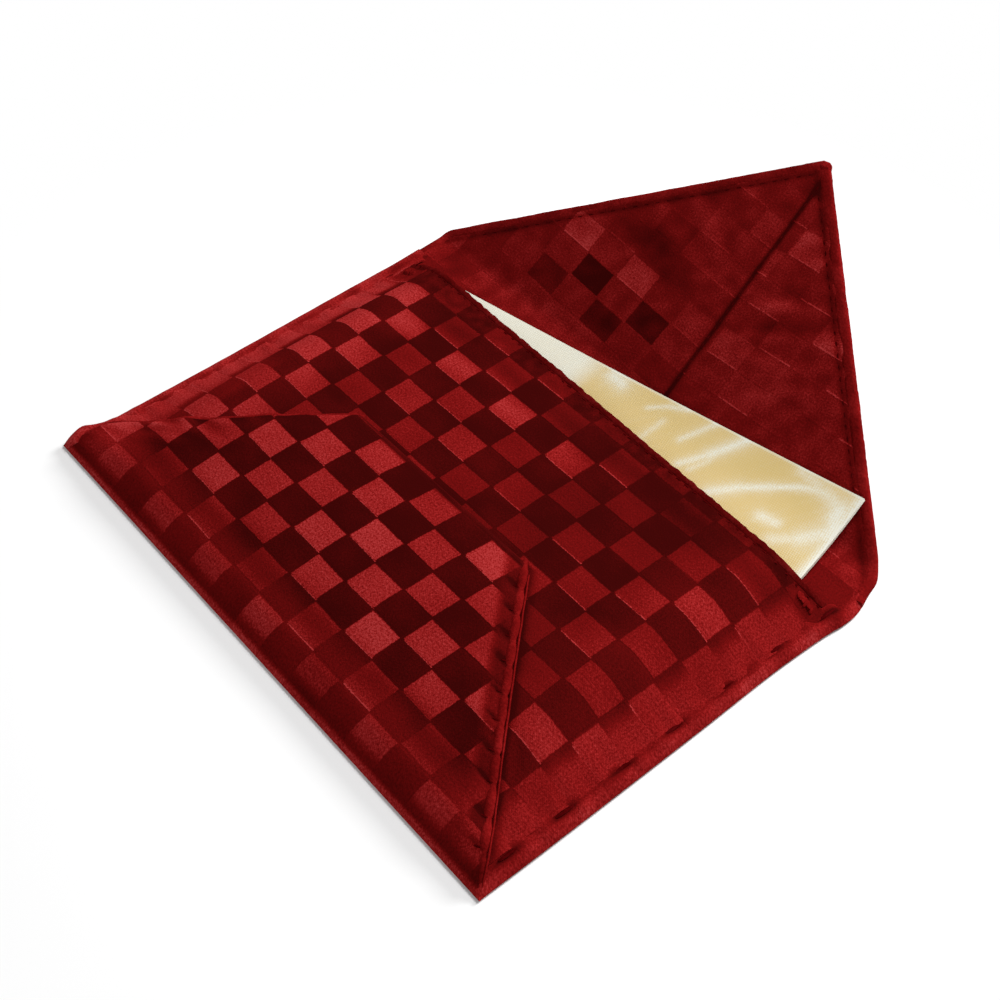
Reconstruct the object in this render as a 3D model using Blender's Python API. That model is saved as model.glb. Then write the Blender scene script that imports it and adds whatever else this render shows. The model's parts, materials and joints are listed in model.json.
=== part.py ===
"""An envelope-shaped cloth card case: a flat pocket, a hinged pointed flap and a satin-faced card.

Lengths are in metres and +Z is up. The case lies on its back. X runs along the bottom fold and Y from
the bottom fold towards the flap. The origin is on the underside, in the middle of the back.
Meshes of the pocket are drawn from the middle of the bottom fold, where Y is 0.
"""
import math

import bmesh
import bpy
from mathutils import Vector

# The card that the case is made for, and how it lies in the pocket
CARD_WIDTH = 0.0889
CARD_HEIGHT = 0.0508
CARD_BOARD = 0.00035
CARD_SATIN = 0.00015
CARD_GAP = 0.00015
CARD_SIDE_GAP = 0.00095
CARD_PROUD = 0.00655
CARD_BEND_RUN = 0.02295
CARD_RISE = 0.0045
CARD_TURN = math.radians(9.0)

# Outline of the pocket
SIDE_ROOM = 0.0066
BACK_HEIGHT = 0.0784
MOUTH_DROP = 0.0104
MOUTH_SLANT = 0.0034
MOUTH_SAG = 0.002
LEFT_SHOULDER_OUT = 0.0007
RIGHT_SHOULDER_IN = 0.0021

# Layers, from the outside in
CLOTH = 0.00035
BOARD = 0.0004
FACING = 0.0003
LINING = 0.00025
LAYER_GAP = 0.0002
END_GAP = 0.0003

# The pocket's inside and the front's shape
POCKET_DEPTH = 0.0051
SIDE_ROUND = 0.0045
BOTTOM_ROUND = 0.032
SEAM_MARGIN = 0.0028
BINDING_WIDTH = 0.0021
HEM_WIDTH = 0.0013

# Bottom flap, folded up over the front
BOTTOM_FLAP_HEIGHT = 0.0371
BOTTOM_FLAP_LEFT = 0.022
BOTTOM_FLAP_RIGHT = 0.0203
LEFT_ROLL_WIDTH = 0.0014
RIGHT_ROLL_WIDTH = 0.0019
LEFT_ROLL_HEIGHT = 0.0009
RIGHT_ROLL_HEIGHT = 0.0013
ROLL_START = 0.0009

# Pointed flap and its fold
FLAP_HEIGHT = 0.0478
FLAP_LEFT_OUT = 0.0006
FLAP_RIGHT_IN = 0.0023
FLAP_BLUNT = 0.0012
FLAP_TIP_SHIFT = 0.0025
FLAP_EDGE_WIDTH = 0.002
SEAM_FOOT_SHIFT = 0.003
SEAM_HEAD_SHARE = 0.8
FOLD_BACK = 0.0044
FOLD_FRONT = 0.003
CLOSED_CLEARANCE = 0.0003
FLAP_LIFT = math.radians(31.0)

# Thread tacks at the two ends of the mouth
TACK_LENGTH = 0.003
TACK_WIDTH = 0.001
TACK_HEIGHT = 0.0005
TACK_INSET = 0.0058
TACK_DROP = 0.0012

# Fineness of the meshes
SIDE_STEPS = 4
FLAT_STEPS = 10
BOTTOM_STEPS = 8
UPPER_STEPS = 4
TURN_STEPS = 6
ROLL_STEPS = 10
ARC_STEPS = 4
CARD_COLUMNS = 10
CARD_ROWS = 12
RING_SIDES = 10
CORNER_STEPS = 4

# Sizes that follow from the card and the case's own
CASE_WIDTH = CARD_WIDTH * math.cos(CARD_TURN) + CARD_HEIGHT * math.sin(CARD_TURN) + 2 * SIDE_ROOM
MOUTH_HEIGHT = BACK_HEIGHT - MOUTH_DROP
INNER_HALF = CASE_WIDTH / 2 - SEAM_MARGIN
POCKET_END = BACK_HEIGHT - FOLD_BACK
LEFT_SHOULDER = CASE_WIDTH / 2 + LEFT_SHOULDER_OUT
RIGHT_SHOULDER = CASE_WIDTH / 2 - RIGHT_SHOULDER_IN
CARD_CORNER_X = INNER_HALF - CARD_SIDE_GAP - CARD_HEIGHT * math.sin(CARD_TURN)
CARD_CORNER_Y = BACK_HEIGHT + CARD_PROUD

# Heights and turns that follow from the layers
BACK_TOP = CLOTH + LAYER_GAP + BOARD + LAYER_GAP + FACING
FRONT_LAYERS = LINING + LAYER_GAP + CLOTH
SEAM_FLOOR = BACK_TOP + LAYER_GAP
FRONT_RISE = POCKET_DEPTH - LAYER_GAP
BOTTOM_FLAP_LAYERS = LAYER_GAP + LINING + LAYER_GAP + CLOTH
BOTTOM_FLAP_BASE = SEAM_FLOOR + FRONT_LAYERS + BOTTOM_FLAP_LAYERS
BOTTOM_FLAP_TOP = BOTTOM_FLAP_BASE + FRONT_RISE
HINGE_HEIGHT = (BOTTOM_FLAP_TOP + CLOSED_CLEARANCE + BACK_TOP) / 2
FOLD_RADIUS = HINGE_HEIGHT - BACK_TOP
BINDING_TOP = SEAM_FLOOR + FRONT_LAYERS + LAYER_GAP + CLOTH
BINDING_TOP_PAST_MOUTH = BACK_TOP + LAYER_GAP + CLOTH
SIDE_TURN = BINDING_TOP / 2
BOTTOM_TURN = BOTTOM_FLAP_BASE / 2


def clear_scene():
    for old in list(bpy.data.objects):
        bpy.data.objects.remove(old, do_unlink=True)


def make_material(name, colour, roughness, metallic=0.0):
    material = bpy.data.materials.new(name)
    material.use_nodes = True
    shader = material.node_tree.nodes["Principled BSDF"]
    shader.inputs["Base Color"].default_value = (*colour, 1.0)
    shader.inputs["Roughness"].default_value = roughness
    shader.inputs["Metallic"].default_value = metallic
    return material


def make_empty(name, place, turn=0.0):
    empty = bpy.data.objects.new(name, None)
    bpy.context.collection.objects.link(empty)
    empty.location = place
    empty.rotation_euler = (turn, 0.0, 0.0)
    return empty


def finish(name, bm, material, parent):
    """Turn a finished bmesh into a named object under its parent."""
    bmesh.ops.recalc_face_normals(bm, faces=bm.faces[:])
    mesh = bpy.data.meshes.new(name)
    bm.to_mesh(mesh)
    bm.free()
    mesh.materials.append(material)
    mesh.shade_smooth()
    mesh.set_sharp_from_angle(angle=math.radians(40.0))
    piece = bpy.data.objects.new(name, mesh)
    bpy.context.collection.objects.link(piece)
    piece.parent = parent
    return piece


def plate(name, outline, low, high, material, parent):
    """A flat sheet with the given outline, from height low to height high."""
    bm = bmesh.new()
    face = bm.faces.new([bm.verts.new((x, y, low)) for x, y in outline])
    made = bmesh.ops.extrude_face_region(bm, geom=[face], use_keep_orig=True)
    raised = [part for part in made["geom"] if isinstance(part, bmesh.types.BMVert)]
    bmesh.ops.translate(bm, verts=raised, vec=(0.0, 0.0, high - low))
    return finish(name, bm, material, parent)


def sheet(name, stations, low, high, material, parent):
    """A bent sheet over a grid of (point, normal), from low to high along the normals."""
    columns = len(stations) - 1
    rows = len(stations[0]) - 1
    bm = bmesh.new()
    bmesh.ops.create_grid(bm, x_segments=columns, y_segments=rows, size=0.5)
    made = bmesh.ops.extrude_face_region(bm, geom=bm.faces[:], use_keep_orig=True)
    raised = [part for part in made["geom"] if isinstance(part, bmesh.types.BMVert)]
    bmesh.ops.translate(bm, verts=raised, vec=(0.0, 0.0, 1.0))
    for vert in bm.verts:
        point, normal = stations[round((vert.co.x + 0.5) * columns)][round((vert.co.y + 0.5) * rows)]
        vert.co = point + normal * (high if vert.co.z > 0.5 else low)
    return finish(name, bm, material, parent)


def loft(name, rings, material, parent):
    """A closed body through rings that have the same number of points."""
    bm = bmesh.new()
    loops = [[bm.verts.new(point) for point in ring] for ring in rings]
    for ring, following in zip(loops, loops[1:]):
        for near in range(len(ring)):
            far = (near + 1) % len(ring)
            bm.faces.new((ring[near], ring[far], following[far], following[near]))
    bm.faces.new(loops[0])
    bm.faces.new(loops[-1])
    return finish(name, bm, material, parent)


def steps(start, end, count):
    return [start + (end - start) * step / count for step in range(count + 1)]


def oval(width, height):
    """Points of an oval as (across, up), once round."""
    turns = [2 * math.pi * (side + 0.5) / RING_SIDES for side in range(RING_SIDES)]
    return [(width / 2 * math.cos(turn), height / 2 * math.sin(turn)) for turn in turns]


def rounded(corners, radius):
    """An outline with each corner replaced by an arc of the radius."""
    outline = []
    for number, corner in enumerate(corners):
        before = (Vector(corners[number - 1]) - Vector(corner)).normalized()
        after = (Vector(corners[(number + 1) % len(corners)]) - Vector(corner)).normalized()
        half = before.angle(after) / 2
        centre = Vector(corner) + (before + after).normalized() * (radius / math.sin(half))
        first = Vector(corner) + before * (radius / math.tan(half)) - centre
        last = Vector(corner) + after * (radius / math.tan(half)) - centre
        sweep = first.angle_signed(last)
        for step in range(CORNER_STEPS + 1):
            turn = -sweep * step / CORNER_STEPS
            outline.append((
                centre.x + first.x * math.cos(turn) - first.y * math.sin(turn),
                centre.y + first.x * math.sin(turn) + first.y * math.cos(turn),
            ))
    return outline


def side_x(side, y):
    """Where the case's own side edge lies: straight up to the mouth, then in to the shoulder."""
    shoulder = RIGHT_SHOULDER if side > 0 else LEFT_SHOULDER
    share = min(max((y - MOUTH_HEIGHT) / (BACK_HEIGHT - MOUTH_HEIGHT), 0.0), 1.0)
    return side * (CASE_WIDTH / 2 + (shoulder - CASE_WIDTH / 2) * share)


def fullness(x, y):
    """How far the front has risen above the seams at a place, as a share of its full rise."""
    across = min(max((INNER_HALF - abs(x)) / SIDE_ROUND, 0.0), 1.0)
    up = min(max((y - BOTTOM_TURN) / BOTTOM_ROUND, 0.0), 1.0)
    return math.sin(math.pi / 2 * across) * math.sin(math.pi / 2 * up)


def front_station(x, y):
    """A point on the front lining's underside, and the direction that the layers build up in."""
    reach = LAYER_GAP
    slope_x = (fullness(x + reach, y) - fullness(x - reach, y)) * FRONT_RISE / (2 * reach)
    slope_y = (fullness(x, y + reach) - fullness(x, y - reach)) * FRONT_RISE / (2 * reach)
    normal = Vector((-slope_x, -slope_y, 1.0)).normalized()
    return Vector((x, y, SEAM_FLOOR + FRONT_RISE * fullness(x, y))), normal


def mouth_y(x):
    """The mouth's edge: it slants, and it sags between the two side seams."""
    half = CASE_WIDTH / 2
    return MOUTH_HEIGHT - MOUTH_SLANT / 2 * x / half + MOUTH_SAG * (1.0 - fullness(x, MOUTH_HEIGHT))


def front_columns(reach):
    """Places across the front, closer together where its sides round over."""
    outer = [reach] + steps(INNER_HALF, INNER_HALF - SIDE_ROUND, SIDE_STEPS)
    middle = steps(-outer[-1], outer[-1], FLAT_STEPS)[1:-1]
    return [-x for x in outer] + middle + outer[::-1]


def make_back(cloth, board, parent):
    """The back's three flat layers, which end where the outer cloth turns over at the sides and bottom."""
    inset = SIDE_TURN + END_GAP
    foot = BOTTOM_TURN + END_GAP
    for name, material, low, thickness in (
        ("back_cloth", cloth, 0.0, CLOTH),
        ("back_board", board, CLOTH + LAYER_GAP, BOARD),
        ("back_facing", cloth, BACK_TOP - FACING, FACING),
    ):
        outline = [
            (side_x(-1, foot) + inset, foot),
            (side_x(1, foot) - inset, foot),
            (side_x(1, MOUTH_HEIGHT) - inset, MOUTH_HEIGHT),
            (side_x(1, POCKET_END) - inset, POCKET_END),
            (side_x(-1, POCKET_END) + inset, POCKET_END),
            (side_x(-1, MOUTH_HEIGHT) + inset, MOUTH_HEIGHT),
        ]
        plate(name, outline, low, low + thickness, material, parent)


def make_front(cloth, lining, parent):
    """The front panel with its lining, and the turned hem along the mouth."""
    reach = CASE_WIDTH / 2 - SIDE_TURN
    stations = []
    for x in front_columns(reach):
        top = mouth_y(x) - HEM_WIDTH - LAYER_GAP
        rows = steps(BOTTOM_TURN, BOTTOM_ROUND, BOTTOM_STEPS)[:-1] + steps(BOTTOM_ROUND, top, UPPER_STEPS)
        stations.append([front_station(x, y) for y in rows])
    sheet("front_lining", stations, 0.0, LINING, lining, parent)
    sheet("front_cloth", stations, LINING + LAYER_GAP, FRONT_LAYERS, cloth, parent)
    rings = []
    for x in front_columns(reach):
        middle = mouth_y(x) - HEM_WIDTH / 2
        point, normal = front_station(x, middle)
        centre = point + normal * (FRONT_LAYERS / 2)
        rings.append([
            centre + Vector((0.0, across, 0.0)) + normal * up
            for across, up in oval(HEM_WIDTH, FRONT_LAYERS)
        ])
    loft("mouth_hem", rings, cloth, parent)


def bottom_flap_x(side, y):
    """Where the bottom flap's slanted edge lies."""
    top = BOTTOM_FLAP_RIGHT if side > 0 else BOTTOM_FLAP_LEFT
    return side * (CASE_WIDTH / 2 + (top - CASE_WIDTH / 2) * y / BOTTOM_FLAP_HEIGHT)


def bottom_flap_slant(side):
    top = BOTTOM_FLAP_RIGHT if side > 0 else BOTTOM_FLAP_LEFT
    return math.atan2(BOTTOM_FLAP_HEIGHT, CASE_WIDTH / 2 - top)


def bottom_flap_limits(y):
    """The x of the sheet's two ends at a height, inside the rolled edges."""
    right = bottom_flap_x(1, y) - (RIGHT_ROLL_WIDTH + LAYER_GAP) / math.sin(bottom_flap_slant(1))
    left = bottom_flap_x(-1, y) + (LEFT_ROLL_WIDTH + LAYER_GAP) / math.sin(bottom_flap_slant(-1))
    return left, right


def make_bottom_flap(cloth, lining, parent):
    """The cloth turns up round the bottom fold and lies over the front, lined inside."""
    rows = steps(BOTTOM_TURN, BOTTOM_ROUND, BOTTOM_STEPS)[:-1]
    rows += steps(BOTTOM_ROUND, BOTTOM_FLAP_HEIGHT, 2)
    offset = FRONT_LAYERS + BOTTOM_FLAP_LAYERS - CLOTH
    lined = []
    covered = []
    for x in front_columns(CASE_WIDTH / 2):
        across = (1.0 + x / (CASE_WIDTH / 2)) / 2
        over = []
        for y in rows:
            left, right = bottom_flap_limits(y)
            over.append(front_station(left + (right - left) * across, y))
        lined.append(over)
        fold = []
        for turn in steps(-math.pi / 2, math.pi / 3, TURN_STEPS):
            outward = Vector((0.0, -math.cos(turn), math.sin(turn)))
            centre = Vector((x, BOTTOM_TURN, BOTTOM_TURN))
            fold.append((centre + outward * (BOTTOM_TURN - CLOTH), outward))
        covered.append(fold + [(point + normal * offset, normal) for point, normal in over])
    low = FRONT_LAYERS + LAYER_GAP
    sheet("bottom_flap_lining", lined, low, low + LINING, lining, parent)
    sheet("bottom_flap_cloth", covered, 0.0, CLOTH, cloth, parent)
    for side, name, width, height in (
        (-1, "bottom_flap_roll_left", LEFT_ROLL_WIDTH, LEFT_ROLL_HEIGHT),
        (1, "bottom_flap_roll_right", RIGHT_ROLL_WIDTH, RIGHT_ROLL_HEIGHT),
    ):
        inset = width / 2 / math.sin(bottom_flap_slant(side))
        rings = []
        for y in steps(BOTTOM_TURN + ROLL_START, BOTTOM_FLAP_HEIGHT, ROLL_STEPS):
            point, normal = front_station(bottom_flap_x(side, y) - side * inset, y)
            ahead, _ = front_station(bottom_flap_x(side, y + CLOTH) - side * inset, y + CLOTH)
            across = (ahead - point).cross(normal).normalized()
            centre = point + normal * (FRONT_LAYERS + LAYER_GAP + height / 2)
            rings.append([centre + across * out + normal * up for out, up in oval(width, height)])
        loft(name, rings, cloth, parent)


def binding_section(top):
    """The turned-over cloth as (inward, up): along its outer side, round its lip and back inside."""
    middle = top / 2
    turns = steps(-math.pi / 2, math.pi / 2, TURN_STEPS)
    outer, inner = (
        [(middle - radius * math.cos(turn), middle + radius * math.sin(turn)) for turn in turns]
        for radius in (middle, middle - CLOTH)
    )
    return outer + [(BINDING_WIDTH, top), (BINDING_WIDTH, top - CLOTH)] + inner[::-1]


def make_side_bindings(cloth, parent):
    """The back's cloth turned over each side seam, cut slantwise where the bottom flap starts."""
    for side, name in ((-1, "side_binding_left"), (1, "side_binding_right")):
        slope = math.tan(bottom_flap_slant(side))
        rings = [[
            (inward, max(BOTTOM_TURN, inward * slope) + END_GAP, up)
            for inward, up in binding_section(BINDING_TOP)
        ]]
        end = mouth_y(side * CASE_WIDTH / 2)
        for y, top in (
            (end, BINDING_TOP),
            (end + SEAM_MARGIN / 2, BINDING_TOP_PAST_MOUTH),
            (POCKET_END - END_GAP, BINDING_TOP_PAST_MOUTH),
        ):
            rings.append([(inward, y, up) for inward, up in binding_section(top)])
        placed = [
            [Vector((side_x(side, y) - side * inward, y, up)) for inward, y, up in ring]
            for ring in rings
        ]
        loft(name, placed, cloth, parent)


def make_tacks(thread, parent):
    """A short bar of stitches across each end of the mouth."""
    for side, name in ((-1, "bar_tack_left"), (1, "bar_tack_right")):
        rings = []
        for inward in steps(-TACK_LENGTH / 2, TACK_LENGTH / 2, 2):
            x = side * (CASE_WIDTH / 2 - TACK_INSET - inward)
            y = mouth_y(x) - HEM_WIDTH - TACK_DROP
            point, normal = front_station(x, y)
            centre = point + normal * (FRONT_LAYERS + LAYER_GAP + TACK_HEIGHT / 2)
            rings.append([
                centre + Vector((0.0, across, 0.0)) + normal * up
                for across, up in oval(TACK_WIDTH, TACK_HEIGHT)
            ])
        loft(name, rings, thread, parent)


def flap_angle(side):
    if side > 0:
        base = RIGHT_SHOULDER - FLAP_RIGHT_IN + FLAP_TIP_SHIFT
    else:
        base = LEFT_SHOULDER + FLAP_LEFT_OUT - FLAP_TIP_SHIFT
    return math.atan2(FLAP_HEIGHT, base)


def flap_x(side, v, inset=0.0):
    """The x of the flap's slanted edge at a height v above the fold, moved in by inset."""
    angle = flap_angle(side)
    return -FLAP_TIP_SHIFT + side * ((FLAP_HEIGHT - v) / math.tan(angle) - inset / math.sin(angle))


def fold_stations():
    """The facing's inner side through the fold: flat, round the hinge line, then up the flap.

    Each place is (y, z, turn, distance up the flap).
    """
    path = []
    for y in (POCKET_END + END_GAP, BACK_HEIGHT - FOLD_BACK / 3):
        path.append((y, BACK_TOP, 0.0, y - BACK_HEIGHT - FOLD_RADIUS * FLAP_LIFT))
    for turn in steps(0.0, FLAP_LIFT, ARC_STEPS):
        path.append((
            BACK_HEIGHT + FOLD_RADIUS * math.sin(turn),
            HINGE_HEIGHT - FOLD_RADIUS * math.cos(turn),
            turn,
            FOLD_RADIUS * (turn - FLAP_LIFT),
        ))
    for v in steps(0.0, FOLD_FRONT - END_GAP, 2)[1:]:
        path.append((
            BACK_HEIGHT + FOLD_RADIUS * math.sin(FLAP_LIFT) + v * math.cos(FLAP_LIFT),
            HINGE_HEIGHT - FOLD_RADIUS * math.cos(FLAP_LIFT) + v * math.sin(FLAP_LIFT),
            FLAP_LIFT,
            v,
        ))
    return path


def make_fold(cloth, parent):
    """The strips that carry the flap: outer cloth and inner facing, with no board between them."""
    stations = []
    for share in steps(0.0, 1.0, 2):
        line = []
        for y, z, turn, v in fold_stations():
            left = max(side_x(-1, y), flap_x(-1, v))
            right = min(side_x(1, y), flap_x(1, v))
            point = Vector((left + (right - left) * share, y, z))
            line.append((point, Vector((0.0, -math.sin(turn), math.cos(turn)))))
        stations.append(line)
    sheet("fold_facing", stations, -FACING, 0.0, cloth, parent)
    sheet("fold_cloth", stations, -BACK_TOP, CLOTH - BACK_TOP, cloth, parent)


def make_flap(cloth, board, hinge):
    """The flap's layers in the hinge's own frame, where the facing lies FOLD_RADIUS below the hinge."""
    inset = FLAP_EDGE_WIDTH + LAYER_GAP
    foot = FOLD_FRONT
    outer = -FOLD_RADIUS - BACK_TOP
    tip = FLAP_HEIGHT - inset / math.cos(flap_angle(1))
    corners = [
        (flap_x(1, foot, inset), foot),
        (flap_x(1, tip - FLAP_BLUNT, inset), tip - FLAP_BLUNT),
        (flap_x(-1, tip - FLAP_BLUNT, inset), tip - FLAP_BLUNT),
        (flap_x(-1, foot, inset), foot),
    ]
    plate("flap_cloth", corners, outer, outer + CLOTH, cloth, hinge)
    low = outer + CLOTH + LAYER_GAP
    plate("flap_board", rounded(corners, BOARD), low, low + BOARD, board, hinge)
    head = tip - FLAP_BLUNT
    seam_head = flap_x(-1, head, inset)
    seam_head += (flap_x(1, head, inset) - seam_head) * SEAM_HEAD_SHARE
    for side, name in ((-1, "flap_facing_left"), (1, "flap_facing_right")):
        half = [
            (SEAM_FOOT_SHIFT + side * LAYER_GAP / 2, foot),
            (flap_x(side, foot, inset), foot),
            (flap_x(side, head, inset), head),
            (seam_head + side * LAYER_GAP / 2, head),
        ]
        plate(name, half, -FOLD_RADIUS - FACING, -FOLD_RADIUS, cloth, hinge)


def make_flap_edges(cloth, hinge):
    """The flap's rolled edges, mitred against each other at the blunt tip."""
    middle = -FOLD_RADIUS - BACK_TOP / 2
    for side, name in ((-1, "flap_edge_left"), (1, "flap_edge_right")):
        angle = flap_angle(side)
        foot_ring = []
        tip_ring = []
        for across, up in oval(FLAP_EDGE_WIDTH, BACK_TOP):
            inset = FLAP_EDGE_WIDTH / 2 - across
            foot_ring.append(Vector((flap_x(side, FOLD_FRONT, inset), FOLD_FRONT, middle + up)))
            mitre = FLAP_HEIGHT - (inset / math.sin(angle) + LAYER_GAP / 2) * math.tan(angle)
            v = min(mitre, FLAP_HEIGHT - FLAP_BLUNT)
            x = -FLAP_TIP_SHIFT + side * LAYER_GAP / 2 if v == mitre else flap_x(side, v, inset)
            tip_ring.append(Vector((x, v, middle + up)))
        loft(name, [foot_ring, tip_ring], cloth, hinge)


def card_station(across_share, up_share):
    """A point on the card's underside, and the direction that its layers build up in."""
    left = CARD_WIDTH * (1.0 - across_share)
    down = CARD_HEIGHT * (1.0 - up_share)
    x = CARD_CORNER_X - left * math.cos(CARD_TURN) + down * math.sin(CARD_TURN)
    y = CARD_CORNER_Y - left * math.sin(CARD_TURN) - down * math.cos(CARD_TURN)
    share = max(1.0 - (CARD_CORNER_Y - y) / CARD_BEND_RUN, 0.0)
    normal = Vector((0.0, -2 * share * CARD_RISE / CARD_BEND_RUN, 1.0)).normalized()
    return Vector((x, y, BACK_TOP + LAYER_GAP + CARD_RISE * share ** 2)), normal


def make_card(board, satin, parent):
    """A stiff card with a satin face: flat in the pocket, bowed up where it lies on the flap."""
    stations = []
    for across in steps(0.0, 1.0, CARD_COLUMNS):
        stations.append([card_station(across, up) for up in steps(0.0, 1.0, CARD_ROWS)])
    face = CARD_BOARD + CARD_GAP
    sheet("insert_board", stations, 0.0, CARD_BOARD, board, parent)
    sheet("insert_satin", stations, face, face + CARD_SATIN, satin, parent)


def main():
    clear_scene()
    cloth = make_material("checked_brocade", (0.22, 0.006, 0.009), 0.42)
    lining = make_material("red_lining", (0.12, 0.004, 0.006), 0.5)
    stiffener = make_material("stiffener", (0.78, 0.76, 0.7), 0.85)
    thread = make_material("red_thread", (0.16, 0.005, 0.008), 0.5)
    satin = make_material("gold_satin", (0.68, 0.5, 0.18), 0.3)
    card = make_material("card", (0.86, 0.82, 0.68), 0.7)
    bottom_fold = make_empty("bottom_fold", (0.0, -BACK_HEIGHT / 2, 0.0))
    flap_fold = make_empty("flap_fold", (0.0, BACK_HEIGHT / 2, HINGE_HEIGHT), FLAP_LIFT)
    insert = make_empty("insert", (0.0, -BACK_HEIGHT / 2, 0.0))
    make_back(cloth, stiffener, bottom_fold)
    make_front(cloth, lining, bottom_fold)
    make_bottom_flap(cloth, lining, bottom_fold)
    make_side_bindings(cloth, bottom_fold)
    make_tacks(thread, bottom_fold)
    make_fold(cloth, bottom_fold)
    make_flap(cloth, stiffener, flap_fold)
    make_flap_edges(cloth, flap_fold)
    make_card(card, satin, insert)
    bpy.context.view_layer.update()


main()
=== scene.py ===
"""Dresses the cloth card case: checked brocade panels, rolled and stitched edges and a satin-faced card.

Lengths are in metres and +Z is up. Case coordinates are x along the bottom fold, y from that fold towards
the pointed flap, and z from the table. Flap coordinates are x, v up the flap and h above its facing.
"""
import json
import math

import bmesh
import bpy
from mathutils import Matrix, Vector, noise


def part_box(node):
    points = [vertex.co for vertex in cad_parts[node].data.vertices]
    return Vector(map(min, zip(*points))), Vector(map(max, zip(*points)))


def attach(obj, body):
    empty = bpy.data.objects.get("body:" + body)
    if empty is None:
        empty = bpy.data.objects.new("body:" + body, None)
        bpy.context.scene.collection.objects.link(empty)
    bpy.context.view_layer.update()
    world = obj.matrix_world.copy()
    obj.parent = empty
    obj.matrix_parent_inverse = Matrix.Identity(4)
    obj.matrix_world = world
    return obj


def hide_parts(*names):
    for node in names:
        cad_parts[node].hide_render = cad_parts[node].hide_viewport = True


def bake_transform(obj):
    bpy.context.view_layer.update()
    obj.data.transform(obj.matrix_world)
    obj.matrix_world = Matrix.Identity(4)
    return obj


bl_info = {
    "name": "Brocade card case",
    "version": (1, 0, 0),
    "blender": (4, 5, 0),
    "location": "3D View > Sidebar > Card case",
    "description": "Dresses a cloth card case with brocade, rolled edges, stitches and a satin card",
    "category": "Object",
}

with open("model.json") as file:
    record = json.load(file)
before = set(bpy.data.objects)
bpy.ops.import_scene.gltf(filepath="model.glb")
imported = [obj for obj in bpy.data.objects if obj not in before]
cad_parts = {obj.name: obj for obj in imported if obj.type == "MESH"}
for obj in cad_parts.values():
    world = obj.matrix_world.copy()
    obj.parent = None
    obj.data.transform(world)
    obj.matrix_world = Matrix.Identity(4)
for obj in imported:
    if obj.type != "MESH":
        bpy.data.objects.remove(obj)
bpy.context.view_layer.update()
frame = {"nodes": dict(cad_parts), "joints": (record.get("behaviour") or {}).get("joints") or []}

# Layers, and a hair's breadth by which pieces keep apart or sink into each other
HAIR = 0.0001
CLOTH = 0.00035
FACING = 0.0003
LINING = 0.00025
GAP = 0.0002
FRONT_LAYERS = LINING + GAP + CLOTH
FLAP_LAYERS = GAP + LINING + GAP + CLOTH

# Places and heights read from the frame
HINGE = next(joint for joint in frame["joints"] if joint["name"] == "flap_fold")
HINGE_Y, HINGE_Z = HINGE["pos_m"][1:]
LIFT = -math.radians(HINGE["range_deg"][0])
FOOT_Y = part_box("bottom_flap_cloth")[0].y
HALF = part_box("bottom_flap_cloth")[1].x
BACK_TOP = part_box("back_facing")[1].z
SEAM_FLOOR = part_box("front_lining")[0].z
FRONT_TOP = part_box("front_cloth")[1].z
FRONT_RISE = FRONT_TOP - FRONT_LAYERS - SEAM_FLOOR
BOTTOM_TURN = (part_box("bottom_flap_cloth")[1].z - FRONT_TOP + SEAM_FLOOR + FRONT_LAYERS) / 2
POCKET_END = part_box("back_facing")[1].y - FOOT_Y
BACK_HEIGHT = HINGE_Y - FOOT_Y
FOLD_RADIUS = HINGE_Z - BACK_TOP
LEFT_SHOULDER = -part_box("fold_facing")[0].x
RIGHT_SHOULDER = HALF - 0.0021

# The left side is -1 and the right one 1, in tables too
SIDES = ((-1, "left"), (1, "right"))

# Where the front's columns and rows of checks start
CHECK_START = (0.0037, 0.0019)

# Shape of the pocket's front and of its mouth
SEAM_MARGIN = 0.0028
INNER_HALF = HALF - SEAM_MARGIN
SIDE_ROUND = 0.011
BOTTOM_ROUND = 0.032
MOUTH_HEIGHT = 0.068
MOUTH_SLANT = 0.0034
MOUTH_SAG = 0.002
HEM_WIDTH = 0.0013

# Thin rims of the side seams and of the bottom fold, and how far in from them the layers open
FOLD_RIM = 0.00038
SIDE_RIM = {-1: 0.0014, 1: 0.0005}
SIDE_PEAK = 0.0015
SIDE_VALLEY = 0.0033
SEAM_PRESS = 0.0004
SIDE_RUN = 0.0028
FOLD_RUN = 0.0045
UNDER_RUN = 0.002
FRONT_START = 0.0027
BINDING_LIP = 0.0034
BINDING_TUCK = 0.0015
# Base tones of the side bindings: the left one is lighter, painted light on the left side.
BINDING_TONE = {-1: 0.62, 1: 0.5}

# Dents of the side seams' long stitches: how far in they lie, where they start, their spacing and size
DENT_IN = 0.00215
DENT_START = 0.0058
DENT_STEP = 0.0102
DENT_REACH = (0.0007, 0.0023)
DENT_DEPTH = {-1: 0.00005, 1: 0.00012}
DENT_SHADE = {-1: 0.16, 1: 0.4}

# Bottom flap
FLAP_TOP = 0.0371
FLAP_TOP_REACH = {-1: 0.022, 1: 0.0203}
FLAP_LINING_START = 0.0045
ROLL_START = 0.0003
ROLL_WIDTH = 0.0015
ROLL_HEIGHT = {-1: 0.0007, 1: 0.0011}
ROLL_SUNK = {-1: 0.00042, 1: 0.00032}
TURNED_START = 0.0012
TURNED_SIZE = (0.00034, 0.0005)
TURNED_SUNK = 0.00025

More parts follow.
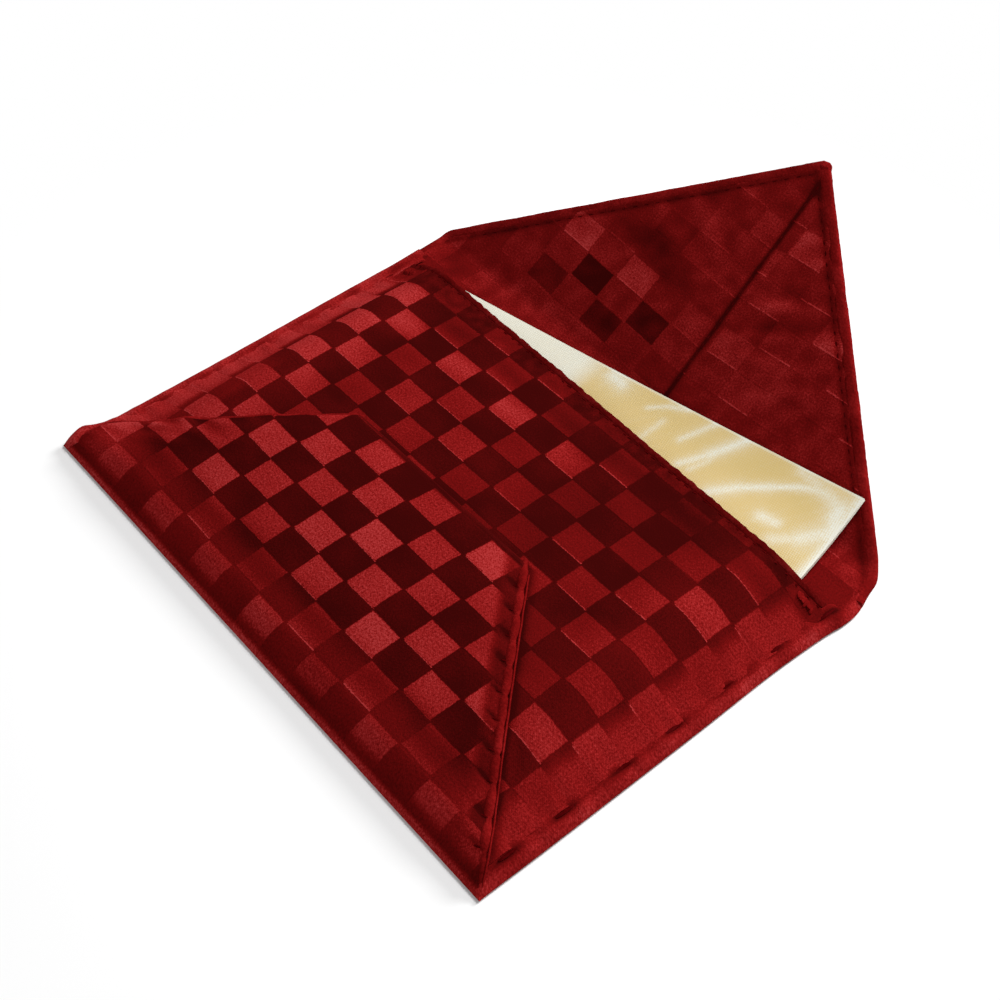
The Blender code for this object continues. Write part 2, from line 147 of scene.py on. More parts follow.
# Pointed flap
POINT_HEIGHT = 0.0484
POINT_BASE = {-1: LEFT_SHOULDER + 0.0011, 1: RIGHT_SHOULDER - 0.002}
POINT_SHIFT = 0.0025
EDGE_ROLL = 0.002
EDGE_LAP = EDGE_ROLL * 0.7
EDGE_GROOVE = EDGE_ROLL + 0.0004
EDGE_OVERLAP = 0.0012
FOLD_EDGE_SIZE = (EDGE_ROLL * 0.97, BACK_TOP * 0.97)
TIP_STOP = 0.0013
TIP_SIZE = (0.0014, 0.00105, BACK_TOP * 0.52)
FOLD_FRONT = 0.003
SEAM_FOOT = 0.003
SEAM_HEAD = -0.0009
SEAM_ALLOWANCE = 0.0006

# Card
CARD_WIDTH = 0.0889
CARD_HEIGHT = 0.0508
CARD_BOARD = 0.00035
CARD_TOP = 0.00065
CARD_TURN = math.radians(9.0)
CARD_CORNER_X = INNER_HALF - 0.00095 - CARD_HEIGHT * math.sin(CARD_TURN)
CARD_CORNER_Y = BACK_HEIGHT + 0.00655
CARD_BEND_RUN = 0.02295
CARD_RISE = 0.0045

# Stitches: how many, where the first one lies, how far apart they are, and each kind's length and width
MOUTH_STITCHES = (54, -0.0505, 0.0019)
EDGE_STITCHES = (30, 0.004, 0.0014)
SEAM_STITCHES = (24, 0.004, 0.0017)
SIDE_STITCHES = 7
WHIP_STITCHES = 10
WHIP_STEP = 0.0033
KNOT_STITCHES = 8
KNOT_STEP = 0.0004
KNOT_SHIFT = {-1: Vector((0.0, 0.0, 0.0)), 1: Vector((-0.0004, 0.0012, 0.0))}
MOUTH_THREAD = (0.0012, 0.0003)
SIDE_THREAD = (0.0038, 0.0007)
WHIP_THREAD = (0.0016, 0.00036)
FLAP_THREAD = (0.0011, 0.0003)
KNOT_THREAD = (0.0017, 0.0008)

# Camera, from the photograph's own perspective
CAMERA_PLACE = (0.14925, -0.10375, 0.20168)
CAMERA_RIGHT = (0.63247, 0.77367, -0.03756)
CAMERA_DOWN = (0.55508, -0.48653, -0.67467)
CAMERA_AHEAD = (-0.54025, 0.40586, -0.73716)
CAMERA_LENS = 61.92

# Lamps: name, place, size and power
LAMPS = (("key", (0.08, 0.38, 0.5), 0.3, 2.95), ("fill", (0.25, -0.42, 0.55), 0.5, 1.1),
         ("back", (0.05, 0.8, 0.36), 0.24, 6.6))
WORLD_LIGHT = 0.22
WHITE = (1.0, 1.0, 1.0, 1.0)

# How far from the middle the floor starts to turn plain white, and where it is so
FLOOR_FADE = (0.08, 0.12)

# Spacing of the meshes' points, and the angle above which an edge is drawn sharp
STEP = 0.0005
SHARP_ANGLE = math.radians(50.0)


def clamp(value, low=0.0, high=1.0):
    return min(max(value, low), high)


def part_way(start, end, share):
    return start + (end - start) * share


def smooth(value):
    value = clamp(value)
    return value * value * (3.0 - 2.0 * value)


def ease(value, start, run):
    """0 up to the start, 1 past the run after it, smooth between them."""
    return smooth((value - start) / run)


def quarter(share):
    """The first quarter of a sine wave, from 0 at 0 to 1 at 1."""
    return math.sin(math.pi / 2 * clamp(share))


def bell(value, middle, width):
    """1 in the middle, falling to 0 on both sides."""
    return math.exp(-((value - middle) / width) ** 2)


def fade(distance, reach):
    """1 at a seam, falling to 0 away from it."""
    return math.exp(-max(distance, 0.0) / reach)


def ripple(x, y, size, seed=0.0):
    """Smooth noise from -1 to 1 with bumps of about the given size."""
    return noise.noise(Vector((x / size, y / size, seed)))


def spot(x, y, at_x, at_y, wide, high):
    """A soft round patch: 1 in its middle, falling to 0."""
    return math.exp(-((x - at_x) / wide) ** 2 - ((y - at_y) / high) ** 2)


def band(x, y, start, end, wide):
    """A soft stroke between two points: 1 along it, falling to 0 beside it."""
    run_x, run_y = end[0] - start[0], end[1] - start[1]
    share = clamp(((x - start[0]) * run_x + (y - start[1]) * run_y) / (run_x ** 2 + run_y ** 2))
    return spot(x, y, start[0] + run_x * share, start[1] + run_y * share, wide, wide)


def dimmed(colour, share):
    return tuple(share * part for part in colour)


def softer_least(first, second, reach):
    """The smaller of two values, rounded where they meet."""
    return min(first, second) - max(reach - abs(first - second), 0.0) ** 2 / (4.0 * reach)


def round_off(distance, radius):
    """How high a turned edge stands at a distance in from its rim, as a share of its full height."""
    return math.sqrt(max(1.0 - (1.0 - clamp(distance / radius)) ** 2, 0.0))


class Socket:
    """A node's output, on which sums are written as in Python."""

    def __init__(self, graph, socket):
        self.graph = graph
        self.socket = socket

    def math(self, operation, *values):
        return self.graph.node("ShaderNodeMath", {"operation": operation}, dict(enumerate(values)))

    def put(self, operation, *others):
        """This value, and others if it takes them, through a Math node."""
        return self.math(operation, self, *others)

    def __add__(self, other):
        return self.put("ADD", other)

    def __sub__(self, other):
        return self.put("SUBTRACT", other)

    def __rsub__(self, other):
        return self.math("SUBTRACT", other, self)

    def __mul__(self, other):
        return self.put("MULTIPLY", other)

    __radd__ = __add__
    __rmul__ = __mul__

    def clamped(self):
        return self.graph.node("ShaderNodeClamp", {}, {0: self, 1: 0.0, 2: 1.0})

    def between(self, low, high):
        """0 below low, 1 above high, smooth between them."""
        sockets = {0: self, 1: low, 2: high, 3: 0.0, 4: 1.0}
        return self.graph.node("ShaderNodeMapRange", {"interpolation_type": "SMOOTHSTEP"}, sockets)


class Graph:
    """The nodes of one tree."""

    def __init__(self, tree):
        self.tree = tree

    def node(self, kind, settings=None, inputs=None, out=0):
        """A new node's output, its settings made first and then its sockets filled or linked."""
        made = self.tree.nodes.new(kind)
        for key, value in (settings or {}).items():
            if key == "stops":
                ramp = made.color_ramp
                while len(ramp.elements) < len(value):
                    ramp.elements.new(0.5)
                for element, (position, colour) in zip(ramp.elements, value):
                    element.position = position
                    element.color = (*colour, 1.0)
            else:
                setattr(made, key, value)
        for key, value in (inputs or {}).items():
            if isinstance(value, Socket):
                self.tree.links.new(value.socket, made.inputs[key])
            else:
                made.inputs[key].default_value = value
        return Socket(self, made.outputs[out])

    def split(self, vector):
        parts = self.node("ShaderNodeSeparateXYZ", {}, {0: vector}).socket.node
        return [Socket(self, output) for output in parts.outputs]

    def join(self, x, y, z=0.0):
        return self.node("ShaderNodeCombineXYZ", {}, {0: x, 1: y, 2: z})

    def place(self):
        """The place on the piece, in its own coordinates."""
        return self.node("ShaderNodeTexCoord", {}, {}, 3)

    def weave_place(self):
        return self.split(self.node("ShaderNodeUVMap", {"uv_map": "weave"}))

    def attribute(self, name):
        return self.node("ShaderNodeAttribute", {"attribute_name": name}, {}, 2)

    def grain(self, vector, scale, detail=2.0, roughness=0.5):
        """Noise from -1 to 1."""
        sockets = {"Vector": vector, "Scale": scale, "Detail": detail, "Roughness": roughness}
        return self.node("ShaderNodeTexNoise", {}, sockets) * 2.0 - 1.0

    def mixed(self, share, first, second):
        return self.node("ShaderNodeMix", {"data_type": "RGBA"}, {0: share, 6: first, 7: second}, 2)

    def ramp(self, share, stops):
        return self.node("ShaderNodeValToRGB", {"stops": stops}, {0: share})


class Surface(Graph):
    """The nodes of one material, around its Principled shader."""

    def __init__(self, name, roughness=0.5, **constants):
        self.material = bpy.data.materials.new(name)
        self.material.use_nodes = True
        super().__init__(self.material.node_tree)
        self.shader = self.tree.nodes["Principled BSDF"]
        self.shader.inputs["Roughness"].default_value = roughness
        for key, value in constants.items():
            self.shader.inputs[key.replace("_", " ").title().replace("Ior", "IOR")].default_value = value

    def use(self, **links):
        """Links the values to the shader's sockets of those names."""
        for key, value in links.items():
            self.tree.links.new(value.socket, self.shader.inputs[key.replace("_", " ").title()])

    def bump(self, height, distance):
        sockets = {"Height": height, "Distance": distance, "Strength": 1.0}
        self.use(normal=self.node("ShaderNodeBump", {}, sockets))


class CaseSettings(bpy.types.PropertyGroup):
    """Sizes and colours that a user would change."""

    check_width: bpy.props.FloatProperty(
        name="Check width", description="Width of one woven check", default=0.007, unit="LENGTH")
    check_height: bpy.props.FloatProperty(
        name="Check height", description="Height of one woven check", default=0.00517, unit="LENGTH")
    pucker: bpy.props.FloatProperty(
        name="Pucker", description="Height of the gathers along the seams", default=0.00011, unit="LENGTH")
    dark_check: bpy.props.FloatVectorProperty(
        name="Dark check", description="Colour of the dark checks", default=(0.042, 0.0019, 0.0018),
        subtype="COLOR")
    middle_check: bpy.props.FloatVectorProperty(
        name="Plain brocade", description="Colour of muted checks", default=(0.158, 0.0045, 0.0045),
        subtype="COLOR")
    bright_check: bpy.props.FloatVectorProperty(
        name="Bright check", description="Colour of the shining checks", default=(0.4, 0.035, 0.035),
        subtype="COLOR")
    lining_colour: bpy.props.FloatVectorProperty(
        name="Lining", description="Colour of the lining", default=(0.09, 0.002, 0.004), subtype="COLOR")
    thread_colour: bpy.props.FloatVectorProperty(
        name="Thread", description="Colour of the sewing thread", default=(0.06, 0.001, 0.0014),
        subtype="COLOR")
    gold: bpy.props.FloatVectorProperty(
        name="Gold satin", description="Colour of the satin", default=(0.63, 0.46, 0.17), subtype="COLOR")
    # Pale colour of the painted sheen and reflection on the satin
    silver_sheen: bpy.props.FloatVectorProperty(
        name="Satin highlight", description="Colour of the satin's streaks", default=(0.80, 0.79, 0.68),
        subtype="COLOR")


# What all cloth has in common: no gloss, and a bloom of red
CLOTH_BLOOM = {"specular_ior_level": 0.0, "sheen_tint": (1.0, 0.06, 0.06, 1.0), "sheen_roughness": 0.4}


def brocade(name, settings, relief=0.00003, variety=0.06, hairlines=0.85):
    """Silk brocade in checks. The weave map counts checks, and two tones say how the two kinds shine; the
    tones carry painted sheen and shade.
    """
    graph = Surface(name, sheen_weight=0.02, **CLOTH_BLOOM)
    u, v, _ = graph.weave_place()
    spread = graph.join(u, v)
    fray = graph.grain(graph.join(u * 17.0, v * 13.0, 8.0), 1.0, 2.0)
    column = u + graph.grain(spread, 1.3, 1.0) * 0.018 + fray * 0.022
    row = v + graph.grain(graph.join(v, u, 4.0), 1.1, 1.0) * 0.03 + fray * 0.03
    cell_u, cell_v = column.put("FLOOR"), row.put("FLOOR")
    near_column, near_row = column.put("FRACT"), row.put("FRACT")
    inset_row = near_row.between(0.025, 0.05) * (1.0 - near_row.between(0.95, 0.99))
    inset_column = near_column.between(0.015, 0.05) * (1.0 - near_column.between(0.96, 0.99))
    inside = inset_row * inset_column
    kind = 1.0 - (cell_u + cell_v).put("FLOORED_MODULO", 2.0)
    shining = kind * inside
    cell = graph.join(cell_u, cell_v)
    chance = graph.node("ShaderNodeTexWhiteNoise", {"noise_dimensions": "2D"}, {0: cell})
    plain, shine = graph.attribute("plain"), graph.attribute("shine")
    lit = plain + (shine - plain) * shining + (chance - 0.5) * (variety + 0.16 * shining)
    grain = graph.grain(graph.join(u * 21.0, v * 16.0), 1.0, 4.0, 0.75)
    cloud = graph.grain(spread, 0.8, 2.0)
    twill = (u * 110.0 + v * 95.0).put("SINE")
    lit = lit + cloud * 0.14 + (grain * 0.95 + twill * 0.05) * (0.2 + lit.clamped())
    line = kind * (1.0 - near_row.between(0.025, 0.05)) * near_column.between(0.05, 0.1)
    line = line * chance.between(0.3, 0.45) * (grain * 2.2 + 0.9).clamped()
    line = line * (shine - plain).between(-0.1, 0.25)
    lit = lit + line * (hairlines - 0.4 * hairlines * lit.clamped())
    halfway = [low + (high - low) * share for low, high, share
               in zip(settings.middle_check, settings.bright_check, (0.55, 0.28, 0.28))]
    stops = [(0.0, settings.dark_check), (0.45, settings.middle_check), (0.72, halfway),
             (0.95, settings.bright_check)]
    graph.use(base_color=graph.ramp(lit.clamped(), stops))
    graph.use(roughness=0.72 - 0.1 * lit.clamped())
    graph.bump(grain + inside * 0.6 + cloud * 0.5, relief)
    return graph.material


def plain_cloth(name, colour, relief=0.00002, bloom=0.03):
    """Plain woven cloth or rolled brocade: a colour that varies a little along fine threads."""
    graph = Surface(name, sheen_weight=bloom, **CLOTH_BLOOM)
    where = graph.place()
    fine = graph.grain(where, 2600.0, 2.0)
    broad = graph.grain(where, 260.0, 2.0)
    pale = tuple(min(1.0, 1.9 * part + 0.004) for part in colour)
    share = (0.5 + fine * 0.34 + broad * 0.4).clamped()
    graph.use(base_color=graph.ramp(share, [(0.0, dimmed(colour, 0.35)), (0.5, colour), (1.0, pale)]))
    graph.use(roughness=0.66 + fine * 0.08)
    graph.bump(fine + broad * 2.0, relief)
    return graph.material


def satin(name, settings):
    """Ribbed satin in gold. Its tone says where it gleams, and a second one where it turns silvery: both are
    painted sheen and reflection.
    """
    graph = Surface(name, specular_ior_level=0.3, coat_weight=0.08, coat_roughness=0.3)
    u, v, _ = graph.weave_place()
    silver_sheen, gleam = graph.attribute("plain"), graph.attribute("shine")
    sway = graph.grain(graph.join(u * 9.0, v * 7.0, 3.0), 1.0, 3.0)
    ribs = (u * 1480.0 + v * 120.0).put("SINE")
    weft = (v * 900.0).put("SINE")
    fuzz = graph.grain(graph.join(u * 260.0, v * 150.0, 5.0), 1.0, 2.0, 0.6)
    share = silver_sheen + gleam * (1.0 + fuzz * 0.7 + ribs * 0.12) + ribs * 0.08 + weft * 0.06 + fuzz * 0.14
    gold = graph.mixed(sway.between(-0.7, 0.7), (*settings.gold, 1.0), (0.68, 0.5, 0.21, 1.0))
    graph.use(base_color=graph.mixed(share.clamped(), gold, (*settings.silver_sheen, 1.0)))
    graph.use(roughness=0.5 - 0.15 * share.clamped())
    graph.bump(ribs * 0.5 + weft * 0.3, 0.000012)
    return graph.material


def paper(name, colour):
    """Paperboard: a pale colour with faint fibres."""
    graph = Surface(name, roughness=0.8)
    fibres = graph.grain(graph.place(), 900.0, 3.0)
    graph.use(base_color=graph.ramp(fibres.between(-1.0, 1.0), [(0.0, dimmed(colour, 0.82)), (1.0, colour)]))
    graph.bump(fibres, 0.00001)
    return graph.material


def add(name, data):
    made = bpy.data.objects.new(name, data)
    bpy.context.scene.collection.objects.link(made)
    return made


def stand_in(piece, node, body):
    """The piece replaces a node of the CAD and moves with a body."""
    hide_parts(node)
    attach(piece, body)


def finish(name, bm, material, slot):
    """Turns a bmesh into a piece of one material; the slot is not used."""
    bmesh.ops.recalc_face_normals(bm, faces=bm.faces[:])
    mesh = bpy.data.meshes.new(name)
    bm.to_mesh(mesh)
    bm.free()
    mesh.materials.append(material)
    mesh.shade_smooth()
    mesh.set_sharp_from_angle(angle=SHARP_ANGLE)
    piece = add(name, mesh)
    return piece


def cloth(name, size, station, thickness, material, slot):
    """A closed sheet over a grid. station(s, t) gives a point, a normal, a place in checks and two tones."""
    columns = max(2, round(size[0] / STEP))
    rows = max(2, round(size[1] / STEP))
    bm = bmesh.new()
    bmesh.ops.create_grid(bm, x_segments=columns, y_segments=rows, size=0.5)
    made = bmesh.ops.extrude_face_region(bm, geom=bm.faces[:], use_keep_orig=True)
    raised = [part for part in made["geom"] if isinstance(part, bmesh.types.BMVert)]
    bmesh.ops.translate(bm, verts=raised, vec=(0.0, 0.0, 1.0))
    plain = bm.verts.layers.float.new("plain")
    shine = bm.verts.layers.float.new("shine")
    weave = bm.loops.layers.uv.new("weave")
    known = {}
    for vert in bm.verts:
        key = (round((vert.co.x + 0.5) * columns), round((vert.co.y + 0.5) * rows))
        if key not in known:
            known[key] = station(key[0] / columns, key[1] / rows)
        point, normal, checks, tone = known[key]
        above = vert.co.z > 0.5
        vert.co = point + normal * (thickness if above else 0.0)
        vert[plain], vert[shine] = tone
        for loop in vert.link_loops:
            loop[weave].uv = checks
    return finish(name, bm, material, slot)


def roll(name, spine, section, material, slot, sides=16, flatness=2.0):
    """A rolled edge: rings round a list of (centre, across, up), each as wide and high as section says.

    Its cross-section is round at a flatness of 2, and flatter on top and bottom above that.
    """
    bm = bmesh.new()
    rings = []
    for number, (centre, across, up) in enumerate(spine):
        width, height = section(number / (len(spine) - 1))
        made = bmesh.ops.create_circle(bm, segments=sides, radius=0.5)["verts"]
        for vert in made:
            sum_of_powers = abs(vert.co.x) ** flatness + abs(vert.co.y) ** flatness
            vert.co *= 0.5 / sum_of_powers ** (1.0 / flatness)
        pose = Matrix.Identity(4)
        pose.col[0][:3] = across.normalized() * width
        pose.col[1][:3] = up.normalized() * height
        pose.translation = centre
        bmesh.ops.transform(bm, matrix=pose, verts=made)
        rings.append(made)
    for ring, following in zip(rings, rings[1:]):
        edges = [edge for edge in {edge for vert in ring + following for edge in vert.link_edges}
                 if all(end in ring for end in edge.verts) or all(end in following for end in edge.verts)]
        bmesh.ops.bridge_loops(bm, edges=edges)
    bmesh.ops.holes_fill(bm, edges=[edge for edge in bm.edges if edge.is_boundary], sides=0)
    return finish(name, bm, material, slot)


def stitches(name, places, size, material):
    """Short flat stitches of a (length, width), each at a (centre, along, up)."""
    length, width = size
    bm = bmesh.new()
    for centre, along, up in places:
        made = bmesh.ops.create_icosphere(bm, subdivisions=1, radius=0.5)["verts"]
        across = along.cross(up).normalized()
        pose = Matrix.Identity(4)
        pose.col[0][:3] = along.normalized() * length
        pose.col[1][:3] = across * width
        pose.col[2][:3] = up.normalized() * width * 0.5
        pose.translation = centre
        bmesh.ops.transform(bm, matrix=pose, verts=made)
    return finish(name, bm, material, "thread")


def place(x, y, z):
    return Vector((x, FOOT_Y + y, z))


def side_x(side, y):
    """The case's side edge: up to the mouth, where the soft seam stands out, then on to the shoulder."""
    share = clamp((y - MOUTH_HEIGHT) / (BACK_HEIGHT - MOUTH_HEIGHT))
    if side > 0:
        bulge = 0.0006 * (1.0 - ease(y, 0.0, 0.05)) + 0.0008 * bell(y, 0.0715, 0.0035)
        return part_way(HALF, RIGHT_SHOULDER, share) + bulge - 0.0004 * bell(y, 0.056, 0.011)
    bulge = 0.0012 * bell(y, 0.0016, 0.0045) - 0.00035 * ripple(y, 0.0, 0.0022, 14.0)
    bulge *= 1.0 - ease(y, 0.008, 0.01)
    return -part_way(HALF, LEFT_SHOULDER, share) - bulge - 0.0007 * ease(y, 0.02, 0.05)


def pushed_out(x, y):
    """Where the bottom fold bulges out, y measured from the flat fold, more towards the right corner."""
    return y - (0.0005 + 0.0002 * (x + HALF) / HALF) * (1.0 - ease(y, 0.0, 0.005))


def rise(x, y):
    """How far the front has risen above the seams, as a share of its full rise."""
    return smooth((INNER_HALF - abs(x)) / SIDE_ROUND) * quarter((y - BOTTOM_TURN) / BOTTOM_ROUND)


def normal_of(height, x, y):
    """The normal of a surface whose height at each place is height(x, y)."""
    reach = STEP / 2
    slope_x = (height(x + reach, y) - height(x - reach, y)) / STEP
    slope_y = (height(x, y + reach) - height(x, y - reach)) / STEP
    return Vector((-slope_x, -slope_y, 1.0)).normalized()


def mouth_y(x):
    """The mouth's edge: it slants, and it sags between the two side seams."""
    return MOUTH_HEIGHT - MOUTH_SLANT / 2 * x / HALF + MOUTH_SAG * (1.0 - rise(x, MOUTH_HEIGHT))


def front_waves(x, y, pucker):
    """Slack in the front panel: broad waves, and gathers where the seams and the mouth are sewn."""
    sides = fade(INNER_HALF - abs(x), 0.0045) * math.sin(y / 0.00072 + 3.0 * ripple(x, y, 0.006))
    mouth = fade(mouth_y(x) - y, 0.0024) * math.sin(x / 0.00031 + 2.5 * ripple(x, y, 0.004, 5.0))
    corner = spot(x, y, 0.042, 0.012, 0.011, 0.008) * ripple(x + y, 0.4 * (x - y), 0.0035, 7.0)
    broad = ripple(x, y, 0.017, 2.0) + 0.5 * ripple(x, y, 0.008, 3.0)
    return pucker * (0.9 * sides + 0.8 * mouth + 2.2 * corner + 1.5 * broad * rise(x, y))


def front_height(x, y):
    """How high the front lining's underside lies: it is pressed down where the side seams are sewn."""
    pressed = SEAM_PRESS * ease(abs(x), INNER_HALF - 0.002, 0.003)
    return SEAM_FLOOR + FRONT_RISE * rise(x, y) - pressed


def front_place(x, y, wave):
    """The front lining's underside with its waves, and the direction in which layers build up there."""
    return place(x, y, front_height(x, y) + wave), normal_of(lambda x, y: FRONT_RISE * rise(x, y), x, y)


def waved_front(x, y, pucker):
    return front_place(x, y, front_waves(x, y, pucker))


def case_checks(settings, x, y):
    """A place on the case counted in checks."""
    return (x - CHECK_START[0]) / settings.check_width, (y - CHECK_START[1]) / settings.check_height


def front_tone(x, y):
    """How the front's two kinds of checks shine, from 0 for the darkest to 1 for the brightest: painted
    sheen and shade.
    """
    # Painted light on the left part of the front, which is made lighter.
    left = ease(-x, 0.031, 0.008)
    right = ease(x, 0.03, 0.012)
    past_middle = ease(x, 0.0, 0.012)
    bright_row = bell(y, 0.0562, 0.0024) * (1.0 - past_middle)
    # Painted shadow of the raised flap: a darker row just below the mouth, except on the left.
    flap_shadow_row = bell(y, 0.0615, 0.0025) * (1.0 - left)
    low_left = left * (1.0 - ease(y, 0.032, 0.006))
    shine = 0.47 + 0.2 * left + 0.08 * right + 0.2 * bright_row - 0.26 * flap_shadow_row - 0.05 * low_left
    shine -= 0.12 * past_middle * (1.0 - right)
    plain = 0.02 + 0.1 * left + 0.12 * right + 0.2 * low_left * ease(-x, 0.04, 0.002)
    # Painted highlight and shade of a fold near the right corner: a light streak beside a dark one.
    crease_shading = band(x, y, (0.0405, 0.0165), (0.0465, 0.0105), 0.0009)
    crease_shading -= band(x, y, (0.0395, 0.0145), (0.0455, 0.0085), 0.0011)
    change = 0.16 * crease_shading
    # Painted shadow on the front beside the bottom flap's right rolled edge.
    if 0.0 < y < FLAP_TOP:
        change -= 0.4 * bell(from_flap_side(1, x, y), 0.0, 0.0009)
    # Towards the side seams the checks even out to one tone, lighter on the left than on the right: painted
    # light on the left side.
    at_edge = ease(abs(x), 0.0455, 0.003)
    # Darker and mottled towards the mouth: painted shade of the gathers along it.
    at_mouth = ease(y, 0.0625, 0.003)
    mottled = 0.14 * at_mouth * ripple(x, y, 0.0016, 6.0)
    return [part_way(part_way(tone, 0.74 if x < 0.0 else 0.52, at_edge) + change, end, at_mouth) + mottled
            for tone, end in ((plain, 0.06), (shine, 0.25))]


class CASE_OT_front(bpy.types.Operator):
    """Make the pocket's front panel, its lining and the hem along its mouth"""

    bl_idname = "card_case.front"
    bl_label = "Front and mouth"

    def execute(self, context):
        settings = context.scene.card_case
        pucker = settings.pucker
        reach = HALF - UNDER_RUN
        material = brocade("front_brocade", settings)
        lining = plain_cloth("lining_cloth", settings.lining_colour)

        def station(lift):
            def at(s, t):
                x = part_way(-reach, reach, s)
                y = part_way(FRONT_START, mouth_y(x) - HEM_WIDTH, t)
                point, normal = waved_front(x, y, pucker)
                return point + normal * lift, normal, case_checks(settings, x, y), front_tone(x, y)
            return at

        size = (2 * reach, MOUTH_HEIGHT - FRONT_START)
        front = cloth("front_panel", size, station(LINING + GAP), CLOTH, material, "brocade")
        inside = cloth("pocket_lining", size, station(0.0), LINING, lining, "lining")
        spine = []
        hem_reach = INNER_HALF - 0.0004
        count = round(2 * hem_reach / STEP)
        for number in range(count + 1):
            x = part_way(-hem_reach, hem_reach, number / count)
            y = mouth_y(x) - HEM_WIDTH / 2
            point, normal = waved_front(x, y, pucker)
            wander = Vector((0.0, 0.00018 * ripple(x, 0.0, 0.0016, 8.0), 0.0))
            spine.append((point + normal * FRONT_LAYERS / 2 + wander, Vector((0.0, 1.0, 0.0)), normal))

        def section(share):
            pinch = 1.0 + 0.16 * ripple(share, 0.0, 0.011, 9.0) + 0.14 * ripple(share, 0.0, 0.03, 11.0)
            pinch *= part_way(0.25, 1.0, ease(min(share, 1.0 - share), 0.0, 0.02))
            height = FRONT_LAYERS * (0.86 + 0.16 * ripple(share, 0.0, 0.014, 10.0))
            return HEM_WIDTH * pinch, height * min(pinch, 1.0)

        # The hem's colour is the plain brocade darkened: painted shade along the rolled mouth edge.
        shaded_hem_cloth = plain_cloth("shaded_hem_cloth", dimmed(settings.middle_check, 0.45), 0.00004)
        hem = roll("mouth_roll", spine, section, shaded_hem_cloth, "brocade", flatness=2.6)
        for piece, node in ((front, "front_cloth"), (inside, "front_lining"), (hem, "mouth_hem")):
            stand_in(piece, node, "pocket")
        return {"FINISHED"}


def flap_side_x(side, y):
    """The bottom flap's slanted edge. The left one bows outwards near its corner."""
    bow = 0.0
    if side < 0:
        bow = 0.0037 * bell(y, 0.0085, 0.0065)
        bow += 0.0009 * ripple(y, 0.0, 0.0034, 90.0) * ease(y, 0.004, 0.005)
    straight = part_way(abs(side_x(side, 0.0)), FLAP_TOP_REACH[side], y / FLAP_TOP)
    return side * min(straight + bow, abs(side_x(side, y)))


def flap_slant(side):
    return math.atan2(FLAP_TOP, HALF - FLAP_TOP_REACH[side])


def from_flap_side(side, x, y):
    """How far in a place lies from the bottom flap's slanted edge."""
    return side * (flap_side_x(side, y) - x) * math.sin(flap_slant(side))


def at_fold(y):
    """How far the layers have opened from the flat bottom fold, as a share."""
    return quarter(y / FOLD_RUN)


def flap_height(x, y):
    """How high the bottom flap's outer side lies."""
    top = SEAM_FLOOR + FRONT_LAYERS + FLAP_LAYERS + FRONT_RISE * rise(x, y)
    at_side = 0.5 + 0.5 * quarter((HALF - abs(x)) / SIDE_RUN)
    return part_way(FOLD_RIM, top, at_fold(y) * at_side)


def flap_top(x, y, pucker):
    """A point on the bottom flap's waved outer side, and the direction in which layers build up there."""
    height = flap_height(x, y) + bottom_waves(x, y, pucker)
    return place(x, pushed_out(x, y), height), normal_of(flap_height, x, y)


def bottom_waves(x, y, pucker):
    """Slack in the bottom flap: soft waves, and creases beside the left edge near its corner."""
    from_right = from_flap_side(1, x, y)
    along_right = fade(from_right, 0.0022) * math.sin(y / 0.0006 + 2.0 * ripple(x, y, 0.005))
    broad = ripple(x, y, 0.019, 12.0) + 0.5 * ripple(x, y, 0.009, 13.0)
    notch = gathers(y) * bell(from_right, 0.0019, 0.0008)
    slack = 3.2 * left_creases(x, y) + 0.9 * along_right + 1.2 * broad - 1.2 * notch
    return pucker * slack * ease(y, 0.001, 0.004)


def left_creases(x, y):
    """Short wrinkles, from -1 to 1, that fan out from the left rolled edge near the corner."""
    near = fade(from_flap_side(-1, x, y), 0.003) * bell(y, 0.013, 0.011)
    return near * streaks(x, y, 0.35, 0.006, 0.0018, 48.0)


def bottom_tone(x, y):
    """How the bottom flap's checks shine: strongly, but muted where it starts to turn over the fold, which
    is painted shade.
    """
    from_right = from_flap_side(1, x, y)
    ends = ease(abs(x), 0.038, 0.01)
    # Painted shade where the cloth turns over the fold: bright checks darkened, and less contrast.
    muted = bell(y, 0.008, 0.0026) * (1.0 - ends)
    low = 1.0 - ease(y, 0.006, 0.005)
    near_roll = 1.0 - ease(from_right, 0.0025, 0.002)
    # Painted shade in the dents that the whip stitches draw in beside the right rolled edge.
    notch = 0.4 * gathers(y) * bell(from_right, 0.0021, 0.001)
    plain = 0.03 + 0.25 * low + 0.2 * ends + 0.12 * near_roll - notch
    shine = 0.71 - 0.36 * muted - 0.07 * low * (1.0 - muted) - 0.42 * near_roll - notch
    # Painted shade along the top edge, where the cloth turns under.
    shine = part_way(shine, 0.1, ease(y, FLAP_TOP - 0.0016, 0.0006))
    # Round the fold the tone turns to a painted highlight along the rim and painted shade just inside it.
    turn = 0.9 * (1.0 - ease(y, 0.0012, 0.0014))
    rim = 0.2 + 0.54 * (1.0 - ease(abs(y), 0.0005, 0.0005))
    # Painted light and shade of the wrinkles beside the left rolled edge.
    crease_shading = 0.7 * left_creases(x, y)
    return part_way(plain, rim, turn) + crease_shading, part_way(shine, rim, turn) + crease_shading


def whip_shift(y):
    """How far the whip stitches stray from even steps, as a share of a step."""
    return 0.35 * ripple(y, 0.0, 0.007, 31.0)


def gathers(y):
    """How far the whip stitches draw the right roll in: 1 at each stitch, 0 between them."""
    return max(math.cos(2.0 * math.pi * (y / WHIP_STEP + whip_shift(y))), 0.0) ** 4


